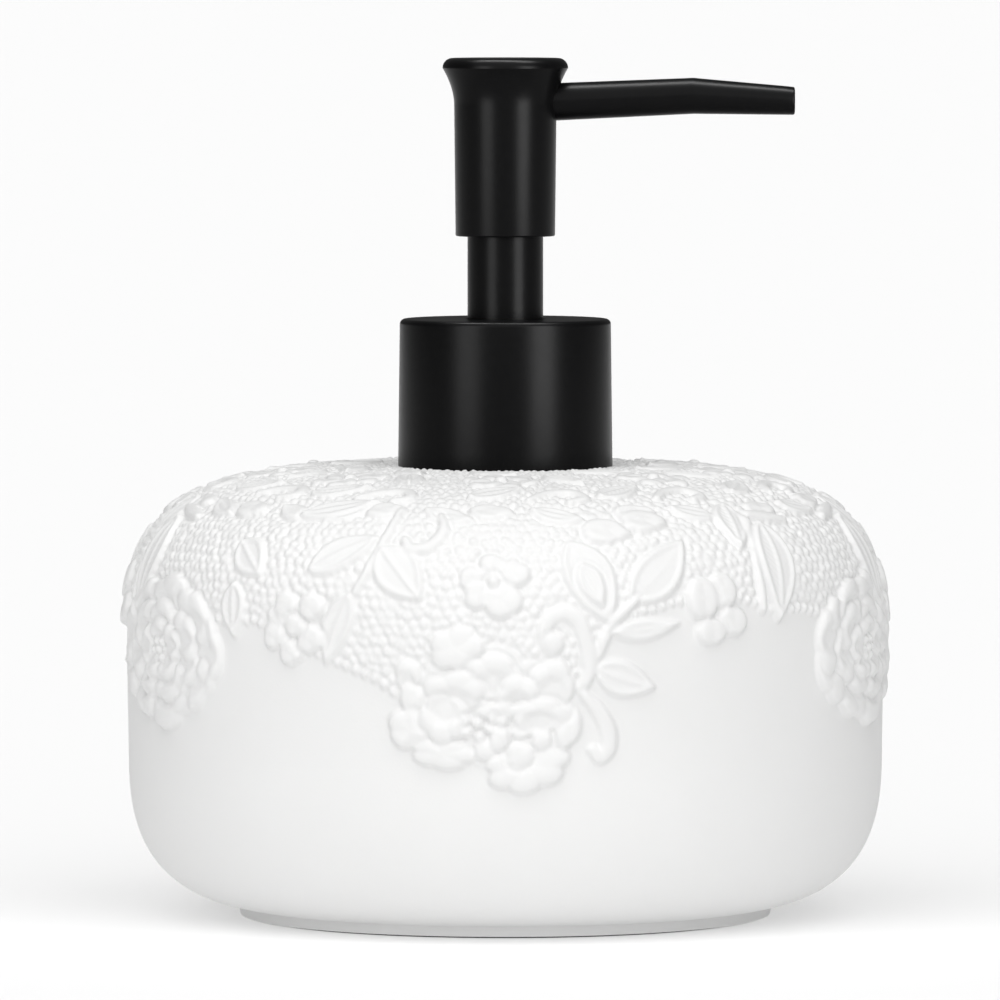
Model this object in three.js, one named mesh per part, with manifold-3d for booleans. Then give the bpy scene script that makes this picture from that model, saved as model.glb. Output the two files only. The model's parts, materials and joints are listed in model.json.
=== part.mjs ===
// A soap pump dispenser: a low round ceramic bottle with a black lotion pump screwed into its mouth.
// Millimetres, +Z up. The origin is the centre of the foot's rest plane, and the spout points along +X.
import * as THREE from "three";
import { mergeVertices } from "three/addons/utils/BufferGeometryUtils.js";
import Module from "manifold-3d";

const wasm = await Module();
wasm.setup();

// ---- Driving dimensions -------------------------------------------------------------------------

// Clearances between pieces.
const SLIDE_GAP = 0.12; // pieces that run in one another
const SEAT_GAP = 0.1; // pieces that rest on one another
const FIT_GAP = 0.25; // pieces that are pressed or clipped together
const COVER_GAP = 0.3; // decorative covers over the pieces they hide
const PAST = 1; // how far a cutting shape runs past what it cuts
const SAME_POINT = 1e-4; // points closer than this are one

// Bottle: a rounded drum. Shoulder and base are superellipse quarters.
const WALL = 4.5;
const BOTTLE_TOP = 67.2; // flat top around the mouth
const SHOULDER_RADIUS = 56.8; // widest, at the foot of the shoulder
const SHOULDER_HEIGHT = 29.2; // of the shoulder's curve
const SHOULDER_FLAT = 14; // radius inside which the top is flat
const SHOULDER_POWER = 3.45;
const BASE_TAPER = 0.2; // the wall's lean, from the shoulder in to the base's curve
const BASE_HEIGHT = 24.66; // of the base's curve
const BASE_FLAT = 30;
const BASE_POWER = 2.84;
const BASE_BOTTOM = 1.34; // lowest level of the base's curve, inside the foot ring
const FOOT_RADIUS = 39.9;
const FOOT_LIFT = 0.3; // the pad stands this far out of the foot ring
const FOOT_CHAMFER = 0.3;
const PAD_RADIUS = 38;
const PAD_THICKNESS = 1.0;
const MOUTH_RADIUS = 13;
const MOUTH_BOSS_WALL = 4.5; // thickened ring around the mouth
const MOUTH_BOSS_DEPTH = 8.4; // length of the mouth's bore

// Threaded neck of white plastic, pushed into the mouth.
const SEAL_THICKNESS = 0.7;
const NECK_WALL = 2.15;
const NECK_ROOT = 12.55; // outside radius between the threads
const NECK_HEIGHT = 15.3; // above its base flange
const FLANGE_SEAT = 1.7; // how far the flange reaches past the mouth
const FLANGE_STEP = 2.15; // least width of the flange outside the neck
const NECK_FLANGE_THICKNESS = 1.6;
const PLUG_LENGTH = 10;
const PLUG_WALL = 1.9;
const PLUG_FIN = 0.45; // how far the plug's sealing fins stand out
const PLUG_FINS = 3;

// Thread: pitch of a 28-410 closure, with round ridges.
const PITCH = 4.233;
const THREAD_TURNS = 1.5;
const RIDGE_RADIUS = 1.0;
const RIDGE_STAND = 1.05; // how far the neck's ridge stands out of its root
const THREAD_OVERLAP = 0.55; // how far the two crests pass one another
const THREAD_PLAY = 0.18; // between the flanks
const THREAD_LEAD = 1; // from the neck's rim to the end of its ridge
const RIDGE_SINK = 0.15; // how far the closure's ridge is let into its wall

// Closure, its decorative shell, and the pump's flange that it clamps.
const GASKET_THICKNESS = 1.0;
const HOUSING_FLANGE = 1.2;
const CLOSURE_PLATE = 1.3;
const CLOSURE_WALL = 0.75;
const COLLAR_PLATE = 0.9;
const COLLAR_WALL = 0.8;
const COLLAR_GAP = 0.35; // between the cover and what it hides
const COLLAR_DRAFT = 0.25; // the cover widens this much from top to bottom
const COLLAR_DROP = 22.2; // from the collar's top to its lower edge
const COLLAR_ROUND = 0.8;
const EDGE_BREAK = 0.2; // of the covers' lower edges

// Pump.
const STROKE = 12;
const SLEEVE_PLAY = 0.25; // between the sleeve and the retainer's guide
const CHAMBER_WALL = 1;
const SPRING_CLOSED = 12.4; // its length with the head pressed
const VALVE_HOLE = 1.7;
const WELL_PLAY = 2; // between the ball and the side of its well
const VALVE_FLOOR = 1.6; // thickness of the seat under the ball
const BALL_RADIUS = 2.4;
const BALL_LIFT = 1.5;
const CAGE_THICKNESS = 1.2;
const CAGE_HOLE = 1.5; // radius of each of the cage's holes
const CAGE_HOLES = 4;
const TUBE_RADIUS = 3.2;
const TUBE_WALL = 0.8;
const TUBE_CLEARANCE = 2.8; // from the bottle's floor to the tube's longest corner
const TUBE_BEVEL = 3; // height of the slanted cut at the tube's end
const SOCKET_WALL = 1.2;
const SOCKET_DEPTH = 8;
const GUIDE_WALL = 0.95; // of the retainer's guide
const GUIDE_LENGTH = 11;
const PISTON_HEIGHT = 6.2;
const PISTON_LIP = 1.4;
const PISTON_WAIST = 1; // how far the piston's waist lies inside its lips
const LIP_BEVEL = 0.4;
const LIP_SLOPE = 0.6; // height over which a lip runs down to the waist
const STEM_RADIUS = 3.6;
const STEM_BORE = 2.0;
const STEM_SHORT = 2; // from the stem's top to the underside of the spout
const PLUG_HEAD = 1.6; // thickness of the valve plug's disc, the spring's upper seat
const PLUG_REACH = 1.9; // how far the disc stands out of the stem
const PLUG_PIN = 1.3; // radius of the pin that clips into the stem
const PLUG_PIN_LENGTH = 12;
const PIN_POINT = 0.8; // height of the pin's pointed end
const PIN_POINT_IN = 0.4; // how far the point draws in
const WIRE_RADIUS = 0.45;
const SPRING_TURNS = 7;
const SPRING_GAP = 0.9; // between the coil and the chamber's wall

// Head, sleeve and spout.
const SLEEVE_RADIUS = 5.68;
const SLEEVE_WALL = 0.7;
const HEAD_CLEARANCE = 0.4; // between the pressed head and the collar
const SLEEVE_BELOW = 1.8; // below the collar's top
const SLEEVE_IN_HEAD = 6;
const CORE_TAIL = 3; // of the inner head, below the head's lower edge
const HEAD_STEP = 1.79; // from the sleeve out to the head's lower edge
const HEAD_DRAFT = 0.21; // widening from the lower edge up to the flare
const HEAD_FLARE_OUT = 1.74; // how far the rim stands out of the waist
const HEAD_HEIGHT = 26.7;
const HEAD_FLARE = 5.6; // height over which the flare opens
const FLARE_POWER = 1.9; // 1 is a cone, and a higher power opens later
const HEAD_RIM_ROUND = 1.5;
const HEAD_WALL = 0.9;
const SPOUT_LEVEL = 6.9; // from the head's top to the spout's axis, at the head's axis
const SPOUT_RISE = 1.22; // of the axis, up to the kink
const SPOUT_DROP = 0.75; // of the axis, from the kink to the tip
const SPOUT_KINK = 28.2; // distance of the kink from the head's axis
const SPOUT_REACH = 43.4;
const SPOUT_ROOT_RADIUS = 2.86;
const SPOUT_KINK_RADIUS = 2.7;
const SPOUT_TIP_RADIUS = 2.1;
const SPOUT_BORE = 1.2;
const SPOUT_IN_CORE = 3; // distance of its inner end from the head's axis
const SPOUT_OVERRUN = 1.1; // its tip is made this much too long, then cut upright

// Facets.
const BODY_SEGMENTS = 52;
const ROUND_SEGMENTS = 32;
const SMALL_SEGMENTS = 20;
const FINE_SEGMENTS = 12;
const RIDGE_SIDES = 6;
const RIDGE_STEPS = 20; // in a turn
const WIRE_SIDES = 6;
const WIRE_STEPS = 12; // in a turn

// ---- Levels worked out from the sizes above ---------------------------------------------------

const shoulderSpring = BOTTLE_TOP - SHOULDER_HEIGHT;
const baseSpring = BASE_BOTTOM + BASE_HEIGHT;
const baseRadius = SHOULDER_RADIUS - BASE_TAPER;
const floorLevel = BASE_BOTTOM + WALL;
const neckBore = NECK_ROOT - NECK_WALL;
const flangeRadius = Math.max(MOUTH_RADIUS + FLANGE_SEAT, NECK_ROOT + FLANGE_STEP);
const neckSeat = BOTTLE_TOP + SEAT_GAP + SEAL_THICKNESS + SEAT_GAP;
const neckFlangeTop = neckSeat + NECK_FLANGE_THICKNESS;
const neckRim = neckFlangeTop + NECK_HEIGHT;
const gasketBottom = neckRim + SEAT_GAP;
const gasketTop = gasketBottom + GASKET_THICKNESS;
const flangeBottom = gasketTop + SEAT_GAP;
const flangeTop = flangeBottom + HOUSING_FLANGE;
const closureUnder = flangeTop + SEAT_GAP;
const closureTop = closureUnder + CLOSURE_PLATE;
const collarUnder = closureTop + SEAT_GAP;
const collarTop = collarUnder + COLLAR_PLATE;
const collarBottom = collarTop - COLLAR_DROP;

const guideBore = SLEEVE_RADIUS + SLEEVE_PLAY;
const guideOutside = guideBore + GUIDE_WALL;
const chamberRadius = guideOutside + SLIDE_GAP;
const chamberOutside = chamberRadius + CHAMBER_WALL;
const retainerTop = closureTop - SEAT_GAP;
const guideEnd = flangeTop - GUIDE_LENGTH;
const pistonTop = guideEnd - SLIDE_GAP;
const pistonBottom = pistonTop - PISTON_HEIGHT;
const plugTop = pistonBottom - SEAT_GAP;
const plugBottom = plugTop - PLUG_HEAD;
const springTop = plugBottom - SEAT_GAP;
const springBottom = springTop - SPRING_CLOSED - STROKE;
const springSeat = springBottom - CAGE_THICKNESS - 2 * SEAT_GAP;

// The ball rests on the edge of its hole, and its lift ends under the cage.
const ballHeight = Math.sqrt(BALL_RADIUS ** 2 - VALVE_HOLE ** 2) + SEAT_GAP;
const valveSeat = springSeat - ballHeight - BALL_RADIUS - BALL_LIFT - SEAT_GAP;
const wellRadius = BALL_RADIUS + WELL_PLAY;
const tubeTop = valveSeat - VALVE_FLOOR;
const socketRadius = TUBE_RADIUS + FIT_GAP + SOCKET_WALL;

const headBottom = collarTop + STROKE + HEAD_CLEARANCE;
const headTop = headBottom + HEAD_HEIGHT;
const spoutRoot = headTop - SPOUT_LEVEL;
const sleeveTop = headBottom + SLEEVE_IN_HEAD;
const coreTop = headTop - HEAD_WALL - COVER_GAP;
const headBottomRadius = SLEEVE_RADIUS + HEAD_STEP;
const headWaistRadius = headBottomRadius + HEAD_DRAFT;
const headRimRadius = headWaistRadius + HEAD_FLARE_OUT;
const coreRadius = headBottomRadius - HEAD_WALL - COVER_GAP;
const stemTop = spoutRoot - SPOUT_ROOT_RADIUS - STEM_SHORT;

// ---- Geometry helpers ---------------------------------------------------------------------------

// A solid of revolution about Z from [radius, height] points, outside first from the bottom up.
function turned(points, segments = ROUND_SEGMENTS) {
  const profile = points.map(([radius, height]) => new THREE.Vector2(radius, height));
  return new THREE.LatheGeometry(profile, segments).rotateX(Math.PI / 2);
}

// A plain ring or washer between two radii and two levels.
function ring(inner, outer, bottom, top, segments = ROUND_SEGMENTS) {
  const corners = [[outer, bottom], [outer, top], [inner, top], [inner, bottom], [outer, bottom]];
  return turned(corners, segments);
}

// A plain disc or rod about Z.
function disc(radius, bottom, top, segments = ROUND_SEGMENTS) {
  return turned([[0, bottom], [radius, bottom], [radius, top], [0, top]], segments);
}

// A cone along the line between two points, with flat ends.
function coneBetween(from, to, startRadius, endRadius, segments = SMALL_SEGMENTS) {
  const way = new THREE.Vector3().subVectors(to, from);
  const turn = new THREE.Quaternion().setFromUnitVectors(
    new THREE.Vector3(0, 1, 0),
    way.clone().normalize(),
  );
  const middle = new THREE.Vector3().addVectors(from, to).multiplyScalar(0.5);
  return new THREE.CylinderGeometry(endRadius, startRadius, way.length(), segments)
    .applyQuaternion(turn)
    .translate(middle.x, middle.y, middle.z);
}

// Points of a superellipse quarter about (flat, spring), with semi-axes wide and high.
function quarter({ flat, spring, wide, high, power, from = 0, to = 1, steps }) {
  return Array.from({ length: steps + 1 }, (_, i) => {
    const angle = (Math.PI / 2) * (from + ((to - from) * i) / steps);
    const across = Math.max(0, Math.cos(angle)) ** (2 / power);
    const up = Math.max(0, Math.sin(angle)) ** (2 / power);
    return [flat + wide * across, spring + high * up];
  });
}

// Points of a round edge of radius round about (radius, height), between two angles.
function arc(radius, height, round, start, end, steps) {
  return Array.from({ length: steps + 1 }, (_, i) => {
    const angle = start + ((end - start) * i) / steps;
    return [radius + round * Math.cos(angle), height + round * Math.sin(angle)];
  });
}

// A helix about Z, rising anticlockwise seen from above.
class Helix extends THREE.Curve {
  constructor(radius, start, pitch, turns, startAngle = 0) {
    super();
    Object.assign(this, { radius, start, pitch, turns, startAngle });
  }
  getPoint(t, target = new THREE.Vector3()) {
    const angle = this.startAngle + 2 * Math.PI * this.turns * t;
    return target.set(
      this.radius * Math.cos(angle),
      this.radius * Math.sin(angle),
      this.start + this.pitch * this.turns * t,
    );
  }
}

// A round bar swept along a curve, with flat ends.
function swept(curve, radius, sides, steps) {
  const section = new THREE.Shape();
  for (let i = 0; i < sides; i++) {
    const angle = (2 * Math.PI * i) / sides;
    const point = [radius * Math.cos(angle), radius * Math.sin(angle)];
    if (i) section.lineTo(...point);
    else section.moveTo(...point);
  }
  return new THREE.ExtrudeGeometry(section, { extrudePath: curve, steps, bevelEnabled: false });
}

// A closed geometry as a manifold solid, for joining and cutting.
function solidOf(geometry) {
  const loose = geometry.index ? geometry.toNonIndexed() : geometry;
  const bare = new THREE.BufferGeometry().setAttribute("position", loose.getAttribute("position"));
  const merged = mergeVertices(bare, SAME_POINT);
  return new wasm.Manifold(
    new wasm.Mesh({
      numProp: 3,
      vertProperties: merged.attributes.position.array,
      triVerts: new Uint32Array(merged.index.array),
    }),
  );
}

function geometryOf(solid) {
  const mesh = solid.getMesh();
  const geometry = new THREE.BufferGeometry()
    .setAttribute("position", new THREE.BufferAttribute(new Float32Array(mesh.vertProperties), 3))
    .setIndex(new THREE.BufferAttribute(new Uint32Array(mesh.triVerts), 1));
  geometry.computeVertexNormals();
  return geometry;
}

// The first geometry with the others joined to it, or cut from it.
const joined = (first, ...others) =>
  geometryOf(others.reduce((solid, other) => solid.add(solidOf(other)), solidOf(first)));
const cut = (first, ...others) =>
  geometryOf(others.reduce((solid, other) => solid.subtract(solidOf(other)), solidOf(first)));

// ---- Finishes -----------------------------------------------------------------------------------

const finish = (color, roughness, metalness = 0) =>
  new THREE.MeshStandardMaterial({ color, roughness, metalness });

const whiteCeramic = () => finish(0xf2f1ee, 0.62);
const blackSatin = () => finish(0x141414, 0.42);
const whitePlastic = () => finish(0xe9e9e6, 0.5);
const naturalPlastic = () => finish(0xd9dcdc, 0.4);
const softSeal = () => finish(0xcfd0cc, 0.7);
const darkFoam = () => finish(0x2a2a2a, 0.95);
const springSteel = () => finish(0xb9bcc0, 0.3, 1);
const ballGlass = () => finish(0xc8d6d4, 0.1);

// ---- Bottle -------------------------------------------------------------------------------------

// Hollow ceramic drum: foot ring with a recess for the pad, curved base, shoulder, and a thick mouth.
function bottle() {
  const wide = SHOULDER_RADIUS - SHOULDER_FLAT;
  const baseWide = baseRadius - BASE_FLAT;
  const bossRadius = MOUTH_RADIUS + MOUTH_BOSS_WALL;
  const bossBottom = BOTTLE_TOP - MOUTH_BOSS_DEPTH;
  const recessTop = PAD_THICKNESS + SEAT_GAP;
  const inRecess = PAD_RADIUS + FIT_GAP;

  // Where the foot ring meets the base's curve, and where the boss meets the shoulder inside.
  const rise = (across, reach, power) => (1 - (across / reach) ** power) ** (1 / power);
  const footShare = rise(FOOT_RADIUS - BASE_FLAT, baseWide, BASE_POWER);
  const footStart = Math.asin(footShare ** (BASE_POWER / 2)) / (Math.PI / 2);
  const innerWide = wide - WALL;
  const bossShare = rise(bossRadius - SHOULDER_FLAT, innerWide, SHOULDER_POWER);
  const bossStart = Math.asin(bossShare ** (SHOULDER_POWER / 2)) / (Math.PI / 2);

  const base = { flat: BASE_FLAT, spring: baseSpring, power: BASE_POWER };
  const shoulder = { flat: SHOULDER_FLAT, spring: shoulderSpring, power: SHOULDER_POWER };
  const outside = [
    ...quarter({ ...base, wide: baseWide, high: -BASE_HEIGHT, from: footStart, to: 0, steps: 8 }),
    ...quarter({ ...shoulder, wide, high: SHOULDER_HEIGHT, steps: 12 }),
  ];
  const inside = [
    ...quarter({
      ...shoulder,
      wide: innerWide,
      high: SHOULDER_HEIGHT - WALL,
      from: bossStart,
      to: 0,
      steps: 6,
    }),
    ...quarter({ ...base, wide: baseWide - WALL, high: WALL - BASE_HEIGHT, steps: 5 }),
  ];
  return turned(
    [
      [0, recessTop],
      [inRecess, recessTop],
      [inRecess, FOOT_LIFT],
      [FOOT_RADIUS - FOOT_CHAMFER, FOOT_LIFT],
      [FOOT_RADIUS, FOOT_LIFT + FOOT_CHAMFER],
      ...outside,
      [MOUTH_RADIUS, BOTTLE_TOP],
      [MOUTH_RADIUS, bossBottom],
      [bossRadius, bossBottom],
      ...inside,
      [0, floorLevel],
    ],
    BODY_SEGMENTS,
  );
}

const basePad = () => disc(PAD_RADIUS, 0, PAD_THICKNESS, BODY_SEGMENTS);

const mouthSeal = () =>
  ring(MOUTH_RADIUS + FIT_GAP, flangeRadius, BOTTLE_TOP + SEAT_GAP, neckSeat - SEAT_GAP);

// ---- Neck and closure ---------------------------------------------------------------------------

// The ridges start clear of the flange, and the closure's ridge lies just under the neck's.
const neckRidgeRadius = NECK_ROOT + RIDGE_STAND - RIDGE_RADIUS;
const neckRidgeStart = neckRim - THREAD_LEAD - RIDGE_RADIUS - PITCH * THREAD_TURNS;
const closureRidgeRadius = neckRidgeRadius + 2 * RIDGE_RADIUS - THREAD_OVERLAP;
const ridgeSpacing = 2 * RIDGE_RADIUS + THREAD_PLAY;
const ridgeStagger = Math.sqrt(ridgeSpacing ** 2 - (closureRidgeRadius - neckRidgeRadius) ** 2);

function ridge(radius, start) {
  const helix = new Helix(radius, start, PITCH, THREAD_TURNS);
  return swept(helix, RIDGE_RADIUS, RIDGE_SIDES, Math.round(THREAD_TURNS * RIDGE_STEPS));
}

function neckInsert() {
  const plugRadius = MOUTH_RADIUS - FIT_GAP - PLUG_FIN;
  const plugBore = plugRadius - PLUG_WALL;
  const finStep = PLUG_LENGTH / (PLUG_FINS + 1);
  const fins = Array.from({ length: PLUG_FINS }, (_, i) => {
    const level = neckSeat - finStep * (i + 1);
    return [
      [plugRadius, level - PLUG_FIN],
      [plugRadius + PLUG_FIN, level],
      [plugRadius, level + PLUG_FIN],
    ];
  });
  const body = turned([
    [plugBore, neckSeat - PLUG_LENGTH],
    [plugRadius, neckSeat - PLUG_LENGTH],
    ...fins.reverse().flat(),
    [plugRadius, neckSeat],
    [flangeRadius, neckSeat],
    [flangeRadius, neckFlangeTop],
    [NECK_ROOT, neckFlangeTop],
    [NECK_ROOT, neckRim],
    [neckBore, neckRim],
    [neckBore, neckFlangeTop],
    [plugBore, neckSeat],
    [plugBore, neckSeat - PLUG_LENGTH],
  ]);
  return joined(body, ridge(neckRidgeRadius, neckRidgeStart));
}

// Inner cap: a threaded skirt under a plate with a hole for the retainer. Its ridge is cut flush with
// the outside.
const retainerLip = chamberOutside + SLIDE_GAP;
const closureRoot = closureRidgeRadius - RIDGE_SINK;
const closureOutside = closureRoot + CLOSURE_WALL;
const collarInside = Math.max(closureOutside, flangeRadius) + COLLAR_GAP;

function closure() {
  const skirtBottom = neckFlangeTop + COVER_GAP;
  const hole = retainerLip + FIT_GAP;
  const body = turned([
    [closureRoot, skirtBottom],
    [closureOutside, skirtBottom],
    [closureOutside, closureTop],
    [hole, closureTop],
    [hole, closureUnder],
    [closureRoot, closureUnder],
    [closureRoot, skirtBottom],
  ]);
  const thread = ridge(closureRidgeRadius, neckRidgeStart - ridgeStagger);
  const reach = 2 * RIDGE_RADIUS;
  const trim = ring(closureOutside, closureOutside + reach, skirtBottom - reach, closureTop + reach);
  return cut(joined(body, thread), trim);
}

// Decorative cup over the closure, with a rounded top edge and a hole for the sleeve.
function collarShell() {
  const hole = SLEEVE_RADIUS + COVER_GAP;
  const outsideTop = collarInside + COLLAR_WALL;
  const outsideBottom = outsideTop + COLLAR_DRAFT;
  const insideBottom = collarInside + COLLAR_DRAFT;
  const edge = arc(
    outsideTop - COLLAR_ROUND,
    collarTop - COLLAR_ROUND,
    COLLAR_ROUND,
    0,
    Math.PI / 2,
    4,
  );
  return turned([
    [insideBottom, collarBottom],
    [outsideBottom - EDGE_BREAK, collarBottom],
    [outsideBottom, collarBottom + EDGE_BREAK],
    ...edge,
    [hole, collarTop],
    [hole, collarUnder],
    [collarInside, collarUnder],
    [insideBottom, collarBottom],
  ]);
}

// ---- Pump engine --------------------------------------------------------------------------------

const gasket = () =>
  ring(chamberOutside + FIT_GAP, NECK_ROOT, gasketBottom, gasketTop);

// Flanged cylinder with a ball valve at its foot and a socket for the dip tube.
function pumpHousing() {
  const wellOutside = wellRadius + CHAMBER_WALL;
  const socketBottom = tubeTop - SOCKET_DEPTH;
  return turned([
    [TUBE_RADIUS + FIT_GAP, socketBottom],
    [socketRadius, socketBottom],
    [socketRadius, valveSeat - VALVE_FLOOR],
    [wellOutside, valveSeat],
    [wellOutside, springSeat - 2 * CHAMBER_WALL],
    [chamberOutside, springSeat],
    [chamberOutside, flangeBottom],
    [NECK_ROOT, flangeBottom],
    [NECK_ROOT, flangeTop],
    [chamberRadius, flangeTop],
    [chamberRadius, springSeat],
    [wellRadius, springSeat - CHAMBER_WALL],
    [wellRadius, valveSeat + BALL_RADIUS - VALVE_HOLE],
    [VALVE_HOLE, valveSeat],
    [VALVE_HOLE, tubeTop + SEAT_GAP],
    [TUBE_RADIUS + FIT_GAP, tubeTop + SEAT_GAP],
    [TUBE_RADIUS + FIT_GAP, socketBottom],
  ]);
}

// Guide that closes the chamber, stops the piston and clips the closure to the pump.
const pumpRetainer = () =>
  turned([
    [guideBore, guideEnd],
    [guideOutside, guideEnd],
    [guideOutside, flangeTop + SEAT_GAP],
    [retainerLip, flangeTop + SEAT_GAP],
    [retainerLip, retainerTop],
    [guideBore, retainerTop],
    [guideBore, guideEnd],
  ]);

// Perforated washer that keeps the ball in its well and carries the spring.
function ballCage() {
  const plate = disc(
    chamberRadius - SLIDE_GAP,
    springSeat + SEAT_GAP,
    springSeat + SEAT_GAP + CAGE_THICKNESS,
  );
  const holes = Array.from({ length: CAGE_HOLES }, (_, i) => {
    const angle = (2 * Math.PI * (i + 0.5)) / CAGE_HOLES;
    const across = wellRadius - CAGE_HOLE;
    const top = springSeat + CAGE_THICKNESS + PAST;
    return disc(CAGE_HOLE, springSeat - PAST, top, FINE_SEGMENTS).translate(
      across * Math.cos(angle),
      across * Math.sin(angle),
      0,
    );
  });
  return cut(plate, ...holes);
}

const checkBall = () =>
  new THREE.SphereGeometry(BALL_RADIUS, 16, 10).translate(0, 0, valveSeat + ballHeight);

// Clear tube, cut on a slant at its lower end.
function dipTube() {
  const bottom = floorLevel + TUBE_CLEARANCE;
  const pipe = ring(TUBE_RADIUS - TUBE_WALL, TUBE_RADIUS, bottom, tubeTop, SMALL_SEGMENTS);
  const slant = new THREE.Shape()
    .moveTo(-TUBE_RADIUS, bottom - PAST)
    .lineTo(TUBE_RADIUS + PAST, bottom - PAST)
    .lineTo(TUBE_RADIUS + PAST, bottom + TUBE_BEVEL)
    .lineTo(-TUBE_RADIUS, bottom);
  const wedge = new THREE.ExtrudeGeometry(slant, { depth: 4 * TUBE_RADIUS, bevelEnabled: false })
    .rotateX(Math.PI / 2)
    .translate(0, 2 * TUBE_RADIUS, 0);
  return cut(pipe, wedge);
}

// ---- Piston and spring --------------------------------------------------------------------------

// Soft piston with a lip above and below, bearing on the chamber's wall.
function pistonSeal() {
  const lip = chamberRadius - SLIDE_GAP;
  const waist = lip - PISTON_WAIST;
  const slope = PISTON_LIP + LIP_SLOPE;
  const bore = STEM_RADIUS + SLIDE_GAP;
  return turned([
    [bore, pistonBottom],
    [lip - LIP_BEVEL, pistonBottom],
    [lip, pistonBottom + LIP_BEVEL],
    [lip, pistonBottom + PISTON_LIP],
    [waist, pistonBottom + slope],
    [waist, pistonTop - slope],
    [lip, pistonTop - PISTON_LIP],
    [lip, pistonTop - LIP_BEVEL],
    [lip - LIP_BEVEL, pistonTop],
    [bore, pistonTop],
    [bore, pistonBottom],
  ]);
}

const pistonStem = () => ring(STEM_BORE, STEM_RADIUS, plugTop + SEAT_GAP, stemTop, SMALL_SEGMENTS);

// Disc under the piston with a split pin that clips up into the stem.
const valvePlug = () =>
  turned(
    [
      [0, plugBottom],
      [STEM_RADIUS + PLUG_REACH, plugBottom],
      [STEM_RADIUS + PLUG_REACH, plugTop],
      [PLUG_PIN, plugTop],
      [PLUG_PIN, plugTop + PLUG_PIN_LENGTH],
      [PLUG_PIN - PIN_POINT_IN, plugTop + PLUG_PIN_LENGTH + PIN_POINT],
      [0, plugTop + PLUG_PIN_LENGTH + PIN_POINT],
    ],
    SMALL_SEGMENTS,
  );

// Open-ended coil spring between the cage and the valve plug's disc.
function returnSpring() {
  const radius = chamberRadius - SPRING_GAP - WIRE_RADIUS;
  const start = springBottom + WIRE_RADIUS;
  const rise = springTop - WIRE_RADIUS - start;
  const coil = new Helix(radius, start, rise / SPRING_TURNS, SPRING_TURNS);
  return swept(coil, WIRE_RADIUS, WIRE_SIDES, SPRING_TURNS * WIRE_STEPS);
}

// ---- Head ---------------------------------------------------------------------------------------

const neckSleeve = () =>
  ring(SLEEVE_RADIUS - SLEEVE_WALL, SLEEVE_RADIUS, collarTop - SLEEVE_BELOW, sleeveTop);

// Points of the spout's axis: where it enters the head, its kink and its tip.
const spoutAt = (x) => new THREE.Vector3(x, 0, spoutRoot + (SPOUT_RISE * x) / SPOUT_KINK);
const spoutKink = spoutAt(SPOUT_KINK);
const spoutTip = new THREE.Vector3(SPOUT_REACH, 0, spoutKink.z - SPOUT_DROP);

const pastTip = spoutTip.clone().sub(spoutKink).multiplyScalar(SPOUT_OVERRUN).add(spoutKink);

// The spout's outside, grown by a clearance; used for the spout and for the holes it passes.
function spoutBody(start, grow = 0) {
  const taper = SPOUT_OVERRUN * (SPOUT_KINK_RADIUS - SPOUT_TIP_RADIUS);
  const endRadius = SPOUT_KINK_RADIUS - taper;
  const root = coneBetween(
    spoutAt(start),
    spoutKink,
    SPOUT_ROOT_RADIUS + grow,
    SPOUT_KINK_RADIUS + grow,
  );
  const tip = coneBetween(spoutKink, pastTip, SPOUT_KINK_RADIUS + grow, endRadius + grow);
  const knuckle = new THREE.SphereGeometry(SPOUT_KINK_RADIUS + grow, SMALL_SEGMENTS, FINE_SEGMENTS)
    .rotateZ(Math.PI / 2)
    .translate(spoutKink.x, 0, spoutKink.z);
  return joined(root, knuckle, tip);
}

// Bent tapering tube with a bore all the way and an upright end face.
function spout() {
  const start = spoutAt(SPOUT_IN_CORE - PAST);
  const bores = [
    coneBetween(start, spoutKink, SPOUT_BORE, SPOUT_BORE, FINE_SEGMENTS),
    coneBetween(spoutKink, pastTip, SPOUT_BORE, SPOUT_BORE, FINE_SEGMENTS),
    new THREE.SphereGeometry(SPOUT_BORE, FINE_SEGMENTS, 8).translate(spoutKink.x, 0, spoutKink.z),
  ];
  const block = 4 * SPOUT_KINK_RADIUS;
  const beyondTip = new THREE.BoxGeometry(block, block, block);
  beyondTip.translate(SPOUT_REACH + block / 2, 0, spoutTip.z);
  return cut(spoutBody(SPOUT_IN_CORE), ...bores, beyondTip);
}

// White inner head: a socket for the stem, a passage up, and a port for the spout.
function headCore() {
  const tailRadius = SLEEVE_RADIUS - SLEEVE_WALL - FIT_GAP;
  const tailBottom = headBottom - CORE_TAIL;
  const hub = turned(
    [
      [0, tailBottom],
      [tailRadius, tailBottom],
      [tailRadius, sleeveTop + SEAT_GAP],
      [coreRadius, sleeveTop + SEAT_GAP],
      [coreRadius, coreTop],
      [0, coreTop],
    ],
    SMALL_SEGMENTS,
  );
  const socketTop = stemTop + SEAT_GAP;
  const socket = disc(STEM_RADIUS + FIT_GAP, tailBottom - PAST, socketTop, SMALL_SEGMENTS);
  const passage = disc(STEM_BORE, stemTop - PAST, spoutRoot, FINE_SEGMENTS);
  const port = spoutBody(SPOUT_IN_CORE - FIT_GAP, FIT_GAP);
  const feed = coneBetween(spoutAt(0), spoutAt(SPOUT_IN_CORE), STEM_BORE, STEM_BORE, FINE_SEGMENTS);
  return cut(hub, socket, passage, port, feed);
}

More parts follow.
